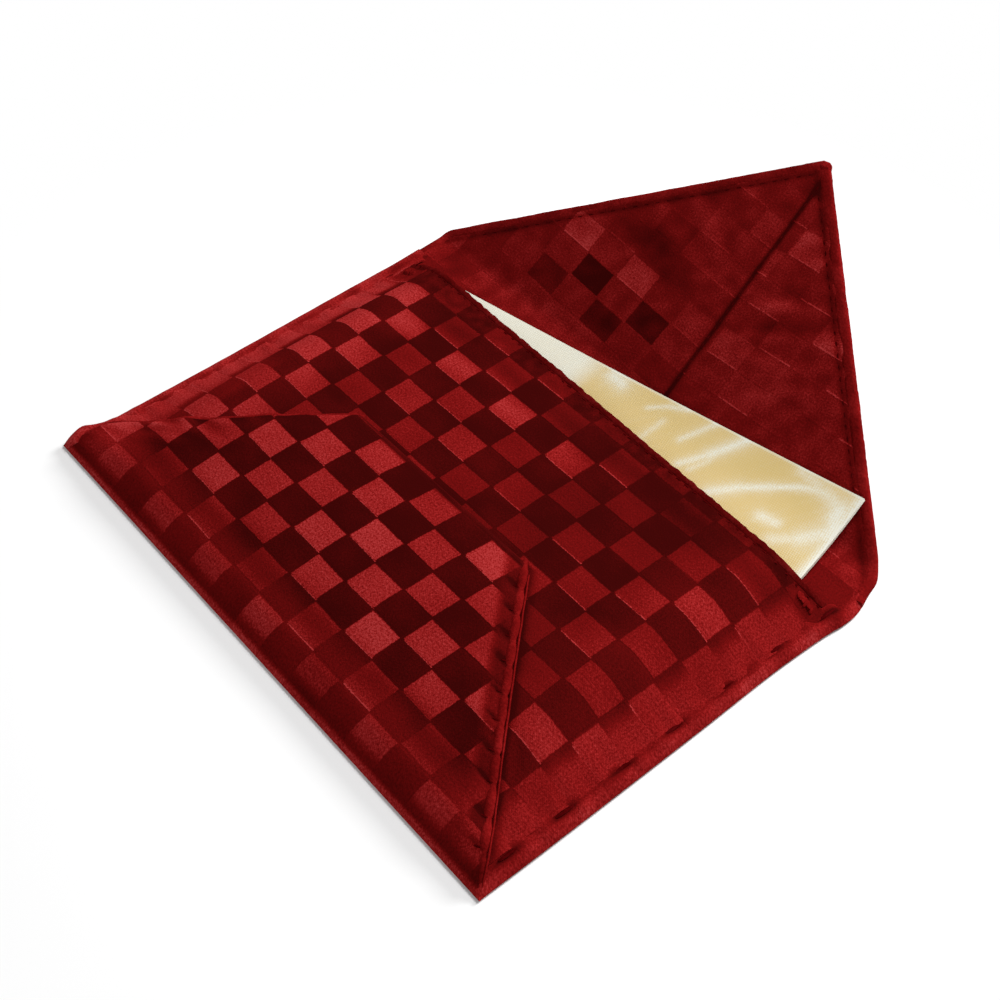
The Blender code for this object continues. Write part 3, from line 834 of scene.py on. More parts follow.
class CASE_OT_bottom_flap(bpy.types.Operator):
    """Make the bottom flap, its lining and its two rolled edges"""

    bl_idname = "card_case.bottom_flap"
    bl_label = "Bottom flap"

    def execute(self, context):
        settings = context.scene.card_case
        pucker = settings.pucker

        def outside(x, q):
            """The outer side, from under the case (q below 0) round the fold and up to the flap's top."""
            if q < 0.0:
                return place(x, pushed_out(x, -q), FOLD_RIM * (1.0 - quarter(-q / UNDER_RUN)))
            return place(x, pushed_out(x, q), flap_height(x, q) + bottom_waves(x, q, pucker))

        def edge(side, q):
            if q > 0.0:
                return flap_side_x(side, q) - side * ROLL_WIDTH * 0.6 * ease(q, 0.0, 0.002)
            return side_x(side, 0.0) + side * q

        def station(s, t):
            q = part_way(-UNDER_RUN, FLAP_TOP, t)
            x = part_way(edge(-1, q), edge(1, q), s)
            checks = ((0.992 * x + 0.0051 - 0.11 * q) / settings.check_width,
                      (q + 0.0001 + 0.01 * x) / settings.check_height)
            if q > STEP:
                normal = normal_of(flap_height, x, q)
            else:
                along = outside(x, q + STEP / 2) - outside(x, q - STEP / 2)
                normal = Vector((0.0, -along.z, along.y)).normalized()
            sunk = FLAP_LAYERS * 0.7 * (1.0 - round_off(FLAP_TOP - q, 0.0007))
            return outside(x, q) - normal * (CLOTH + sunk), normal, checks, bottom_tone(x, q)

        def lined(s, t):
            y = part_way(FLAP_LINING_START, FLAP_TOP - 0.0012, t)
            inset = ROLL_WIDTH * 1.5
            x = part_way(flap_side_x(-1, y) + inset, flap_side_x(1, y) - inset, s)
            point, normal = flap_top(x, y, pucker)
            return point - normal * (FLAP_LAYERS - GAP), normal, (s, t), (0.3, 0.3)

        material = brocade("bottom_flap_brocade", settings)
        lining = plain_cloth("flap_lining_cloth", settings.lining_colour)
        size = (2 * HALF, FLAP_TOP + UNDER_RUN)
        outer = cloth("bottom_flap", size, station, CLOTH, material, "brocade")
        inner = cloth("bottom_flap_inner", (2 * HALF, FLAP_TOP), lined, LINING, lining, "lining")
        stand_in(outer, "bottom_flap_cloth", "pocket")
        stand_in(inner, "bottom_flap_lining", "pocket")
        piping = plain_cloth("piping_cloth", settings.middle_check, 0.00005)
        for side, name in SIDES:
            piece = self.slanted_roll(side, name, piping, pucker)
            stand_in(piece, f"bottom_flap_roll_{name}", "pocket")
        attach(self.turned_edge(piping, pucker), "pocket")
        return {"FINISHED"}

    def turned_edge(self, piping, pucker):
        """The thin outer edge of the cloth beside the right roll."""
        spine = []
        for number in range(round((FLAP_TOP - TURNED_START) / STEP) - 2):
            y = TURNED_START + STEP * number
            x = flap_side_x(1, y) + 0.00016 + 0.00008 * ripple(y, 0.0, 0.002, 25.0)
            point, normal = flap_top(x, y, pucker)
            spine.append((point - normal * TURNED_SUNK, Vector((0.75, 0.6, 0.0)), normal))
        return roll("bottom_flap_turned_edge", spine, lambda share: TURNED_SIZE, piping, "piping", 8)

    def slanted_roll(self, side, name, piping, pucker):
        """The rolled edge, which thins out into the corner of the fold."""
        inset = ROLL_WIDTH / 2 / math.sin(flap_slant(side))

        def middle(y):
            wander = 0.00014 * ripple(y, 0.0, 0.003, 20.0 + side)
            x = flap_side_x(side, y) - side * (inset * part_way(0.3, 1.0, ease(y, 0.0, 0.005)) + wander)
            point, normal = flap_top(x, y, pucker)
            return point - normal * ROLL_SUNK[side], normal

        spine = []
        count = round((FLAP_TOP - ROLL_START) / STEP)
        for number in range(count + 1):
            y = part_way(ROLL_START, FLAP_TOP, number / count)
            point, normal = middle(y)
            spine.append((point, (middle(y + STEP)[0] - point).cross(normal), normal))

        def section(share):
            taper = part_way(0.3, 1.0, ease(share, 0.0, 0.1)) * (1.0 - 0.45 * ease(share, 0.965, 0.035))
            drawn = gathers(part_way(ROLL_START, FLAP_TOP, share)) if side > 0 else 0.0
            pinch = 1.0 - 0.4 * drawn + 0.1 * ripple(share, 0.0, 0.02, 30.0)
            return ROLL_WIDTH * taper * pinch, ROLL_HEIGHT[side] * taper * (1.0 - 0.45 * drawn)

        return roll(f"bottom_flap_roll_cloth_{name}", spine, section, piping, "piping")


def binding_outside(side, q, y):
    """Across a side binding as (inward, up): under the case where q is below 0, then over the seam."""
    opened = at_fold(y)
    floor = front_height(HALF - max(q, 0.0), y) + FRONT_LAYERS
    floor = part_way(floor, BACK_TOP, ease(y, mouth_y(side * HALF), 0.0016))
    top = floor + GAP * 0.6
    corner = 0.0 if side > 0 else 0.0011 * bell(y, 0.0028, 0.003)
    rim = part_way(FOLD_RIM, SIDE_RIM[side] + corner, opened)
    if q < 0.0:
        return -q, rim * (1.0 - quarter(-q / UNDER_RUN))
    sunk = (top - floor + HAIR) * ease(q, SIDE_PEAK, SIDE_VALLEY - SIDE_PEAK)
    return q, rim + ((top - rim) * quarter(q / SIDE_PEAK) - sunk) * opened


def binding_top(side, q, y, wave=0.0):
    """A point on a side binding's outer side, and the normal there."""
    inward, up = binding_outside(side, q, y)
    before = binding_outside(side, q - STEP / 2, y)
    after = binding_outside(side, q + STEP / 2, y)
    normal = Vector((side * (after[1] - before[1]), 0.0, after[0] - before[0])).normalized()
    x = side_x(side, y) - side * inward
    return place(x, pushed_out(x, y), up) + normal * wave, normal


def dent_y(side, number):
    """Where the side seam's long stitches lie."""
    return DENT_START + DENT_STEP * number + 0.0012 * ripple(number * 0.7, side, 1.0, 71.0)


def side_dent(side, q, y):
    """How deep in the dent of a long stitch a place on the side binding lies, from 0 to 1."""
    middle = dent_y(side, round((y - DENT_START) / DENT_STEP))
    return math.exp(-((y - middle) / DENT_REACH[1]) ** 4 - ((q - DENT_IN) / DENT_REACH[0]) ** 2)


class CASE_OT_back(bpy.types.Operator):
    """Make the back's cloth and facing and the side bindings"""

    bl_idname = "card_case.back"
    bl_label = "Back and side bindings"

    def execute(self, context):
        settings = context.scene.card_case
        material = brocade("back_brocade", settings)
        facing = brocade("facing_brocade", settings)
        inset = UNDER_RUN + GAP / 2
        size = (2 * (HALF - inset), POCKET_END - inset)
        for name, node, z, thick, finish_material, slot, tone in (
            ("back_panel", "back_cloth", 0.0, CLOTH, material, "brocade", (0.45, 0.6)),
            ("back_inner", "back_facing", BACK_TOP - FACING, FACING, facing, "flap_facing", (0.3, 0.3)),
        ):
            def station(s, t, z=z, tone=tone):
                y = part_way(inset, POCKET_END, t)
                x = part_way(side_x(-1, y) + inset, side_x(1, y) - inset, s)
                return place(x, y, z), Vector((0.0, 0.0, 1.0)), case_checks(settings, x, y), tone

            piece = cloth(name, (size[0] / 2, size[1] / 2), station, thick, finish_material, slot)
            stand_in(piece, node, "pocket")
        for side, name in SIDES:
            self.binding(settings, side, name)
        board = paper("stiffener_board", (0.72, 0.7, 0.64))
        for node in ("back_board", "flap_board"):
            frame["nodes"][node].data.materials.clear()
            frame["nodes"][node].data.materials.append(board)
        return {"FINISHED"}

    def binding(self, settings, side, name):
        material = brocade(f"binding_brocade_{name}", settings, hairlines=0.3)
        slope = math.tan(flap_slant(side))
        size = (UNDER_RUN + BINDING_LIP, POCKET_END)

        def station(s, t):
            q = part_way(-UNDER_RUN, BINDING_LIP, s)
            on_top = ease(q, 0.0, 0.001)
            start = max(-q, q * slope - BINDING_TUCK, 0.0) + HAIR
            y = part_way(start, POCKET_END - HAIR, t)
            dent = side_dent(side, q, y)
            wave = settings.pucker * math.sin(y / 0.0009 + 3.0 * ripple(y, q, 0.006)) * on_top
            point, normal = binding_top(side, q, y, wave - DENT_DEPTH[side] * dent)
            # Painted highlight on the binding's rounded rim; painted shade in the valley inside it, in the
            # stitch dents and where the binding drops past the mouth.
            tone = BINDING_TONE[side] + 0.14 * ripple(y, q, 0.005, 3.0) + 0.1 * bell(q, 0.0006, 0.0006)
            tone -= 0.08 * bell(q, 0.0021, 0.0006) + DENT_SHADE[side] * dent
            tone -= 0.16 * bell(y, mouth_y(side * HALF) + 0.0006, 0.0012) * on_top
            checks = case_checks(settings, side_x(side, y) - side * q, y)
            return point - normal * CLOTH, normal, checks, (tone, tone + 0.06)

        piece = cloth(f"binding_{name}", (size[0] * 2, size[1]), station, CLOTH, material, "brocade")
        stand_in(piece, f"side_binding_{name}", "pocket")


def flap_angle(side):
    return math.atan2(POINT_HEIGHT, POINT_BASE[side] + side * POINT_SHIFT)


def flap_x(side, v, inset=0.0):
    """The pointed flap's slanted edge at v, moved in by inset."""
    angle = flap_angle(side)
    return -POINT_SHIFT + side * ((POINT_HEIGHT - v) / math.tan(angle) - inset / math.sin(angle))


def edge_x(side, v):
    """The middle of the rolled edge, on the flap and down over the fold to the side seam."""
    on_flap = side * flap_x(side, v, EDGE_ROLL / 2)
    on_side = side * side_x(side, flap_place(0.0, v, 0.0).y - FOOT_Y) - EDGE_ROLL / 2
    return side * softer_least(on_flap, on_side, 0.0008)


def edge_spine(side, low, high):
    """The (centre, across, up) of the rolled edge between two heights."""
    count = round((high - low) / STEP * 1.5)
    spine = []
    for number in range(count + 1):
        v = part_way(low, high, number / count)
        wander = 0.0001 * ripple(v, 0.0, 0.004, 60.0 + side)
        centre = flap_place(edge_x(side, v) + wander, v, -BACK_TOP / 2)
        ahead = flap_place(edge_x(side, v + STEP) + wander, v + STEP, -BACK_TOP / 2)
        spine.append((centre, (ahead - centre).cross(flap_up(v)), flap_up(v)))
    return spine


def seam_x(v):
    return part_way(SEAM_FOOT, SEAM_HEAD, v / POINT_HEIGHT)


def from_flap_edge(x, v):
    """How far in a place lies from the nearer slanted edge of the pointed flap."""
    return min(x - flap_x(-1, v), flap_x(1, v) - x) * math.sin(flap_angle(1))


def flap_place(x, v, h):
    """Flap coordinates to a point. Below the fold the facing turns round the hinge and runs on flat."""
    reach = FOLD_RADIUS - h
    if v >= 0.0:
        return Vector((x, HINGE_Y + v * math.cos(LIFT) + reach * math.sin(LIFT),
                       HINGE_Z + v * math.sin(LIFT) - reach * math.cos(LIFT)))
    turn = LIFT + v / FOLD_RADIUS
    if turn >= 0.0:
        return Vector((x, HINGE_Y + reach * math.sin(turn), HINGE_Z - reach * math.cos(turn)))
    return Vector((x, HINGE_Y + turn * FOLD_RADIUS, HINGE_Z - reach))


def flap_up(v):
    turn = clamp(LIFT + min(v, 0.0) / FOLD_RADIUS, 0.0, LIFT)
    return Vector((0.0, -math.sin(turn), math.cos(turn)))


def streaks(x, y, angle, long, short, seed):
    """Smooth noise from -1 to 1, drawn out along an angle."""
    along = x * math.cos(angle) + y * math.sin(angle)
    across = y * math.cos(angle) - x * math.sin(angle)
    return noise.noise(Vector((along / long, across / short, seed)))


def crumple(x, v):
    """Soft wrinkles that run slantwise over the facing's right half and over the left one's upper part."""
    right = streaks(x, v, 0.55, 0.016, 0.0034, 43.0) * ease(x, 0.002, 0.006) * ease(v, 0.009, 0.006)
    left = streaks(x, v, -0.35, 0.014, 0.0036, 47.0) * ease(-x, 0.002, 0.006) * ease(v, 0.014, 0.005)
    return right + 0.7 * left


def facing_height(x, v, pucker):
    """The facing's slack: it dips at the middle seam and gathers along the seam and the stitched edges."""
    from_seam = abs(x - seam_x(v))
    dip = -2.4 * bell(from_seam, 0.0, 0.0006)
    seam = fade(from_seam, 0.0028) * math.sin(v / 0.0005 + 3.0 * ripple(x, v, 0.005, 40.0))
    groove = -1.2 * bell(from_flap_edge(x, v), EDGE_GROOVE, 0.0004)
    broad = ripple(x, v, 0.014, 41.0)
    slack = pucker * (dip + 0.7 * seam + groove + 3.2 * crumple(x, v) + 1.2 * broad - 1.0)
    return max(slack, -0.00017)


# Checks on the facing's halves: width, height, where a column and a row start, and how the rows lean
FACING_WEAVE = {
    -1: (0.00755, 0.00505, -0.0053, 0.0103, 0.075),
    1: (0.0071, 0.0052, 0.0031, 0.0104, -0.04),
}


def facing_checks(x, v):
    """The facing's two halves meet at the seam with their rows leaning opposite ways."""
    width, height, start_x, start_v, lean = FACING_WEAVE[-1 if x < seam_x(v) else 1]
    return (x - start_x) / width, (v + lean * x - start_v) / height


def outer_checks(settings, x, v):
    """A place on the flap's outer side counted in checks."""
    return (x - CHECK_START[0]) / settings.check_width, v / settings.check_height


# How much the tone of some checks on the facing's left half differs, by column and row
FACING_CHECKS = {(-1, -1): -0.38, (-3, -1): -0.42, (-2, -2): -0.25, (-4, -2): -0.3,
                 (-2, 0): 0.28, (-4, 0): 0.26}


def check_of(u, v):
    """The column and row of the shining kind of check that covers a place or lies nearest to it."""
    column, row = math.floor(u), math.floor(v)
    if (column + row) % 2:
        across, along = u - column - 0.5, v - row - 0.5
        if abs(across) > abs(along):
            column += 1 if across > 0.0 else -1
        else:
            row += 1 if along > 0.0 else -1
    return column, row


def facing_tone(x, v):
    """Muted checks, of which a few low on the left half are dark and a few above them shine."""
    groove = 0.25 * bell(from_flap_edge(x, v), EDGE_GROOVE, 0.0006)
    shade = 0.03 + 0.34 * crumple(x, v) - groove - 0.55 * bell(x, seam_x(v), 0.0005)
    shade += 0.14 * ripple(x, v, 0.0028, 44.0)
    shade += 0.12 * spot(x, v, -0.0025, 0.044, 0.004, 0.003)
    shade -= 0.2 * spot(x, v, 0.0005, 0.0425, 0.003, 0.0012)
    if x > seam_x(v):
        return 0.42 + shade, 0.48 + shade
    shade -= 0.34 * spot(x, v, -0.0195, 0.0205, 0.0085, 0.0026)
    shade -= 0.2 * spot(x, v, -0.013, 0.0165, 0.006, 0.002)
    return 0.42 + shade, 0.42 + FACING_CHECKS.get(check_of(*facing_checks(x, v)), 0.0) + shade


class CASE_OT_flap(bpy.types.Operator):
    """Make the pointed flap with its two facing halves and rolled edges, and the strips through its fold"""

    bl_idname = "card_case.flap"
    bl_label = "Pointed flap and fold"

    def execute(self, context):
        settings = context.scene.card_case
        facing = brocade("flap_facing_brocade", settings, variety=0.1, hairlines=1.2)
        outer = brocade("flap_outer_brocade", settings)
        piping = plain_cloth("flap_piping_cloth", settings.middle_check, 0.00006)
        top = POINT_HEIGHT - EDGE_LAP / math.cos(flap_angle(1))
        for side, name in SIDES:
            def half(s, t, side=side):
                v = part_way(FOLD_FRONT, top, t)
                far = flap_x(side, v, EDGE_LAP)
                seam = seam_x(v) - side * 0.0002
                if side * (far - seam) < 0.0:
                    seam = far
                x = part_way(seam, far, s)
                under = 0.00004 * ease(x, seam_x(v) - 0.0004, 0.0004) if side < 0 else 0.0
                h = facing_height(x, v, settings.pucker) - FACING - under
                own = x if side * (x - seam_x(v)) > 0.0 else seam_x(v) + side * 0.00001
                return flap_place(x, v, h), flap_up(v), facing_checks(own, v), facing_tone(x, v)

            piece = cloth(f"facing_{name}", (HALF, top), half, FACING, facing, "flap_facing")
            stand_in(piece, f"flap_facing_{name}", "flap")
            self.edge(side, name, piping)

        def back(s, t):
            v = part_way(FOLD_FRONT, top, t)
            x = part_way(flap_x(-1, v, EDGE_LAP), flap_x(1, v, EDGE_LAP), s)
            return flap_place(x, v, -BACK_TOP), flap_up(v), outer_checks(settings, x, v), (0.45, 0.6)

        piece = cloth("flap_outer", (2 * HALF, top), back, CLOTH, outer, "brocade")
        stand_in(piece, "flap_cloth", "flap")
        self.tip(piping)
        self.fold(settings, facing, outer, piping)
        return {"FINISHED"}

    def edge(self, side, name, piping):
        """The rolled edge of the flap, which ends in the blunt tip."""
        def section(share):
            pinch = 1.0 + 0.07 * ripple(share, 0.0, 0.012, 63.0) + 0.07 * ripple(share, 0.0, 0.05, 61.0)
            closing = 1.0 - 0.2 * ease(share, 0.97, 0.03)
            return EDGE_ROLL * pinch, BACK_TOP * closing * (1.0 + 0.06 * ripple(share, 0.0, 0.03, 62.0))

        spine = edge_spine(side, FOLD_FRONT, POINT_HEIGHT - TIP_STOP)
        piece = roll(f"edge_{name}", spine, section, piping, "piping", flatness=3.0)
        stand_in(piece, f"flap_edge_{name}", "flap")

    def tip(self, piping):
        """The turned-in ends of both edges, bunched up at the tip."""
        bm = bmesh.new()
        made = bmesh.ops.create_icosphere(bm, subdivisions=4, radius=1.0)["verts"]
        middle = flap_place(0.0003 - POINT_SHIFT, POINT_HEIGHT - TIP_STOP - 0.0002, -BACK_TOP / 2)
        along, up = flap_place(0.0, 1.0, 0.0) - flap_place(0.0, 0.0, 0.0), flap_up(1.0)
        for vert in made:
            vert.co *= 1.0 + 0.16 * noise.noise(vert.co * 1.7) + 0.07 * noise.noise(vert.co * 5.0)
            wide, long, high = (part * size for part, size in zip(vert.co, TIP_SIZE))
            vert.co = middle + Vector((wide, 0.0, 0.0)) + along * long + up * high
        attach(finish("flap_tip", bm, piping, "piping"), "flap")

    def fold(self, settings, facing, outer, piping):
        """The two strips that wrap round the fold, and the ends of the rolled edges on them."""
        start_v = -(LIFT * FOLD_RADIUS + HINGE_Y - FOOT_Y - POCKET_END)
        line = {"start": (0.0, HINGE_Y, BACK_TOP), "end": tuple(flap_place(0.0, FOLD_FRONT * 0.9, 0.0))}

        def strip_place(s, t):
            v = part_way(start_v, FOLD_FRONT, t)
            y = flap_place(0.0, v, 0.0).y - FOOT_Y
            left = max(side_x(-1, y), flap_x(-1, v)) + EDGE_ROLL / 2
            right = min(side_x(1, y), flap_x(1, v)) - EDGE_ROLL / 2
            return part_way(left, right, s), v

        def inside(s, t):
            x, v = strip_place(s, t)
            h = facing_height(x, v, settings.pucker) - FACING
            return flap_place(x, v, h), flap_up(v), facing_checks(x, v), facing_tone(x, v)

        def outside(s, t):
            x, v = strip_place(s, t)
            return flap_place(x, v, -BACK_TOP), flap_up(v), outer_checks(settings, x, v), (0.45, 0.5)

        size = (2 * HALF, FOLD_FRONT - start_v + 2 * SEAM_ALLOWANCE)
        for name, node, station, thick, material, slot in (
            ("fold_inner", "fold_facing", inside, FACING, facing, "flap_facing"),
            ("fold_outer", "fold_cloth", outside, CLOTH, outer, "brocade"),
        ):
            piece = cloth(name, (2 * HALF, 2 * size[1]), station, thick, material, slot)
            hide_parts(node)
            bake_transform(piece)

        for side, name in SIDES:
            spine = edge_spine(side, start_v - EDGE_OVERLAP, FOLD_FRONT + EDGE_OVERLAP)
            piece = roll(f"fold_edge_{name}", spine, lambda share: FOLD_EDGE_SIZE, piping, "piping",
                         flatness=3.0)
            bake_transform(piece)


def card_place(across, down, h):
    """A point on the card: across from its right edge, down from its top edge, h above its underside."""
    x = CARD_CORNER_X - across * math.cos(CARD_TURN) + down * math.sin(CARD_TURN)
    y = CARD_CORNER_Y - across * math.sin(CARD_TURN) - down * math.cos(CARD_TURN)
    share = max(1.0 - (CARD_CORNER_Y - y) / CARD_BEND_RUN, 0.0)
    normal = Vector((0.0, -2 * share * CARD_RISE / CARD_BEND_RUN, 1.0)).normalized()
    return place(x, y, BACK_TOP + GAP + CARD_RISE * share ** 2) + normal * h, normal


# Creases of light on the satin, from (across, down) to (across, down) on the card, with width and strength
GLEAMS = (
    ((0.0482, 0.001), (0.0462, 0.0016), 0.0012, 0.85),
    ((0.0395, 0.0033), (0.0365, 0.0012), 0.00035, 0.6), ((0.0365, 0.0012), (0.0333, 0.0003), 0.0004, 0.6),
    ((0.0366, 0.0085), (0.0356, 0.004), 0.0005, 0.45),
    ((0.0312, 0.0056), (0.0278, 0.0002), 0.0005, 0.6),
    ((0.0284, 0.0094), (0.0252, 0.0052), 0.0006, 0.7), ((0.0252, 0.0052), (0.0218, 0.0004), 0.0008, 0.8),
    ((0.0262, 0.0092), (0.0245, 0.006), 0.0005, 0.5),
    ((0.0212, 0.0112), (0.0176, 0.0079), 0.0008, 0.75), ((0.0176, 0.0079), (0.0132, 0.0051), 0.0006, 0.8),
    ((0.0132, 0.0051), (0.0094, 0.0029), 0.0005, 0.8), ((0.0094, 0.0029), (0.0058, 0.002), 0.0006, 0.7),
    ((0.0058, 0.002), (0.002, 0.0034), 0.001, 0.6), ((0.002, 0.0034), (0.0006, 0.0076), 0.0013, 0.85),
    ((0.0014, 0.0076), (0.0044, 0.0106), 0.0012, 0.7), ((0.0044, 0.0106), (0.008, 0.013), 0.0009, 0.55),
    ((0.0118, 0.0104), (0.009, 0.0102), 0.0008, 0.7), ((0.0112, 0.0006), (0.0072, 0.0014), 0.0007, 0.5),
    ((0.0006, 0.0005), (0.0004, 0.016), 0.0006, 0.55),
)


def card_tone(across, down):
    """The satin's silvery share, which grows to the left, and its creases of light: painted reflection and
    sheen.
    """
    bent = 0.002 * ripple(across, down, 0.009, 80.0)
    silver_sheen = ease(across + bent, 0.0495, 0.006) * (0.92 + 0.1 * ripple(across, down, 0.006, 81.0))
    shift = 0.0003 * ripple(across, down, 0.003, 82.0)
    gleam = max(strength * (0.55 * band(across + shift, down + shift, start, end, wide)
                            + 0.4 * band(across + shift, down + shift, start, end, 2.2 * wide))
                for start, end, wide, strength in GLEAMS)
    # Painted highlights: thin pale lines along the right and top cut edges, a glow near the right edge, and
    # streaks of sheen.
    silver_sheen = max(silver_sheen, 0.9 * bell(across, 0.0, 0.0003), 0.7 * bell(down, 0.0, 0.0003))
    gleam += 0.3 * fade(across, 0.0016) + 0.1 * max(streaks(across, down, 0.95, 0.012, 0.0009, 83.0), 0.0)
    return silver_sheen, gleam


class CASE_OT_card(bpy.types.Operator):
    """Make the stiff card with its satin face"""

    bl_idname = "card_case.card"
    bl_label = "Satin-faced card"

    def execute(self, context):
        settings = context.scene.card_case

        def station(lift):
            def at(s, t):
                across, down = CARD_WIDTH * (1.0 - s), CARD_HEIGHT * (1.0 - t)
                point, normal = card_place(across, down, lift)
                return point, normal, (s, t), card_tone(across, down)
            return at

        size = (CARD_WIDTH, CARD_HEIGHT)
        pale = paper("card_paper", (0.86, 0.83, 0.7))
        gold = satin("gold_satin_face", settings)
        board = cloth("card_board", size, station(0.0), CARD_BOARD, pale, "card")
        face = cloth("card_satin", size, station(CARD_BOARD), CARD_TOP - CARD_BOARD, gold, "gold_satin")
        stand_in(board, "insert_board", "insert")
        stand_in(face, "insert_satin", "insert")
        return {"FINISHED"}


class CASE_OT_stitches(bpy.types.Operator):
    """Sew the mouth, the side seams, the flap's edges and its middle seam, and bar the mouth's ends"""

    bl_idname = "card_case.stitches"
    bl_label = "Stitches"

    def execute(self, context):
        settings = context.scene.card_case
        pucker = settings.pucker
        thread = plain_cloth("sewing_thread", settings.thread_colour, 0.00001, 0.0)

        mouth = []
        count, start, step = MOUTH_STITCHES
        for number in range(count):
            x = start + step * number + 0.0008 * ripple(number * 0.7, 0.0, 1.0, 69.0)
            point, normal = waved_front(x, mouth_y(x) - HEM_WIDTH - 0.00015, pucker)
            lean = 0.35 * ripple(x, 0.0, 0.002, 70.0)
            mouth.append((point + normal * FRONT_LAYERS, Vector((1.0, lean, 0.0)), normal))
        self.sew("mouth_stitches", mouth, MOUTH_THREAD, thread, "pocket")

        seams = []
        for number in range(SIDE_STITCHES):
            point, normal = binding_top(1, DENT_IN, dent_y(1, number), -HAIR)
            seams.append((point, Vector((0.0, 1.0, 0.0)), normal))
        self.sew("side_stitches", seams, SIDE_THREAD, thread, "pocket")

        slanted = []
        for number in range(1, WHIP_STITCHES + 1):
            y = WHIP_STEP * (number - whip_shift(WHIP_STEP * number))
            x = flap_side_x(1, y) - ROLL_WIDTH * 0.9 / math.sin(flap_slant(1))
            point, normal = flap_top(x, y, pucker)
            slanted.append((point + normal * 0.00002, Vector((-0.9, -0.35, 0.0)), normal))
        self.sew("bottom_flap_stitches", slanted, WHIP_THREAD, thread, "pocket")

        def flap_line(side, x_at, count, start, step):
            """Stitches along a line on the flap. Those of one side end before the middle seam."""
            for number in range(count):
                v = start + step * number
                x = x_at(v)
                if side and side * (x - seam_x(v)) < 0.001:
                    continue
                along = flap_place(x_at(v + STEP), v + STEP, 0.0) - flap_place(x, v, 0.0)
                yield flap_place(x, v, facing_height(x, v, pucker)), along, flap_up(v)

        flap = []
        for side in (-1, 1):
            flap += flap_line(side, lambda v: flap_x(side, v, EDGE_GROOVE), *EDGE_STITCHES)
        flap += flap_line(0, seam_x, *SEAM_STITCHES)
        self.sew("flap_stitches", flap, FLAP_THREAD, thread, "flap")
        self.bar_tacks(settings)
        return {"FINISHED"}

    def sew(self, name, places, size, thread, body):
        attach(stitches(name, places, size, thread), body)

    def bar_tacks(self, settings):
        """A knot of crossing stitches at each end of the mouth."""
        bunched = plain_cloth("bar_tack_thread", dimmed(settings.middle_check, 0.85), 0.00003)
        for side, name in SIDES:
            low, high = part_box(f"bar_tack_{name}")
            middle = (low + high) / 2 + KNOT_SHIFT[side]
            places = []
            for number in range(KNOT_STITCHES):
                x = middle.x + (number - (KNOT_STITCHES - 1) / 2) * KNOT_STEP
                y = middle.y - FOOT_Y + 0.0006 * ripple(number * 0.8, side, 1.0, 74.0)
                point, normal = waved_front(x, y, settings.pucker)
                lean = Vector((0.6 + 1.6 * ripple(number * 0.9, side, 1.0, 72.0), -1.0, 0.0))
                over = FRONT_LAYERS + 0.00008 * (number % 3)
                places.append((point + normal * over, lean, normal))
            piece = stitches(f"bar_{name}", places, KNOT_THREAD, bunched)
            stand_in(piece, f"bar_tack_{name}", "pocket")


def sum_of_rays(graph):
    """1 where the camera, a reflection or a clear view looks, 0 for the light that falls on things."""
    camera, glossy, clear = [graph.node("ShaderNodeLightPath", {}, {}, ray)
                             for ray in ("Is Camera Ray", "Is Glossy Ray", "Is Transmission Ray")]
    return (camera + glossy + clear).clamped()


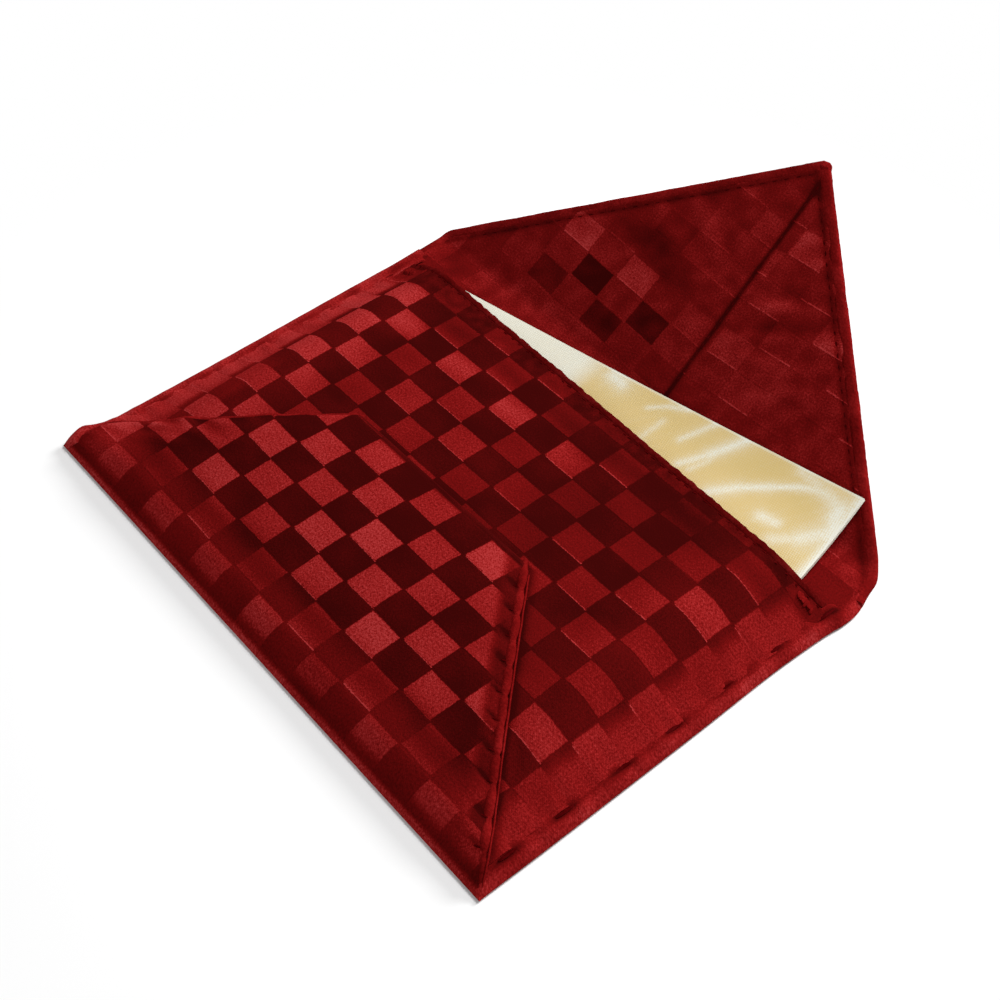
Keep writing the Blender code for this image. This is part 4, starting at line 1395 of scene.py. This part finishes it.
class CASE_OT_stage(bpy.types.Operator):
    """Set the pale floor, the soft lights and the camera"""

    bl_idname = "card_case.stage"
    bl_label = "Stage, lights and camera"

    def execute(self, context):
        scene = context.scene
        scene.view_settings.view_transform = "Standard"
        camera = add("camera", bpy.data.cameras.new("camera"))
        turn = Matrix((CAMERA_RIGHT, [-part for part in CAMERA_DOWN], [-part for part in CAMERA_AHEAD]))
        camera.matrix_world = Matrix.Translation(CAMERA_PLACE) @ turn.transposed().to_4x4()
        camera.data.sensor_width, camera.data.lens = 36.0, CAMERA_LENS
        camera.data.clip_start = 0.01
        scene.camera = camera
        self.floor()
        for lamp in LAMPS:
            self.lamp(*lamp)
        self.world(scene)
        return {"FINISHED"}

    def floor(self):
        bm = bmesh.new()
        bmesh.ops.create_circle(bm, segments=96, radius=2.0, cap_ends=True)
        mesh = bpy.data.meshes.new("floor")
        bm.to_mesh(mesh)
        bm.free()
        graph = Surface("white_floor", roughness=0.9, specular_ior_level=0.1)
        tree = graph.tree
        graph.shader.inputs["Base Color"].default_value = (0.9, 0.9, 0.9, 1.0)
        x, y, _ = graph.split(graph.place())
        far = (x * x + y * y).put("SQRT")
        share = far.between(*FLOOR_FADE) * sum_of_rays(graph)
        white = graph.node("ShaderNodeEmission", {}, {"Color": WHITE, "Strength": 1.0})
        mixed = graph.node("ShaderNodeMixShader", {}, {0: share, 2: white})
        tree.links.new(graph.shader.outputs[0], mixed.socket.node.inputs[1])
        tree.links.new(mixed.socket, tree.nodes["Material Output"].inputs["Surface"])
        mesh.materials.append(graph.material)
        add("floor", mesh)

    def lamp(self, name, at, size, power):
        light = bpy.data.lights.new(name, "AREA")
        light.shape, light.size, light.energy = "DISK", size, power
        lamp = add(name, light)
        lamp.location = at
        lamp.rotation_euler = (-Vector(at)).to_track_quat("-Z", "Y").to_euler()

    def world(self, scene):
        world = bpy.data.worlds.new("studio")
        scene.world = world
        world.use_nodes = True
        graph = Graph(world.node_tree)
        dim = graph.tree.nodes["Background"]
        dim.inputs["Color"].default_value = WHITE
        dim.inputs["Strength"].default_value = WORLD_LIGHT
        bright = graph.node("ShaderNodeBackground", {}, {"Color": WHITE, "Strength": 1.0})
        lit = Socket(graph, dim.outputs[0])
        mixed = graph.node("ShaderNodeMixShader", {}, {0: sum_of_rays(graph), 1: lit, 2: bright})
        graph.tree.links.new(mixed.socket, graph.tree.nodes["World Output"].inputs[0])


class CASE_PT_panel(bpy.types.Panel):
    """The card case's pieces, one button each"""

    bl_label = "Card case"
    bl_space_type = "VIEW_3D"
    bl_region_type = "UI"
    bl_category = "Card case"

    def draw(self, context):
        for operator in OPERATORS:
            self.layout.operator(operator.bl_idname)
        for name in CaseSettings.__annotations__:
            self.layout.prop(context.scene.card_case, name)


OPERATORS = (CASE_OT_stage, CASE_OT_back, CASE_OT_front, CASE_OT_bottom_flap, CASE_OT_flap, CASE_OT_card,
             CASE_OT_stitches)
CLASSES = (CaseSettings, *OPERATORS, CASE_PT_panel)


def register():
    for cls in CLASSES:
        bpy.utils.register_class(cls)
    bpy.types.Scene.card_case = bpy.props.PointerProperty(type=CaseSettings)


def unregister():
    del bpy.types.Scene.card_case
    for cls in reversed(CLASSES):
        bpy.utils.unregister_class(cls)


def main():
    register()
    bpy.ops.card_case.stage()
    bpy.ops.card_case.back()
    bpy.ops.card_case.front()
    bpy.ops.card_case.bottom_flap()
    bpy.ops.card_case.flap()
    bpy.ops.card_case.card()
    bpy.ops.card_case.stitches()


if __name__ == "__main__":
    main()
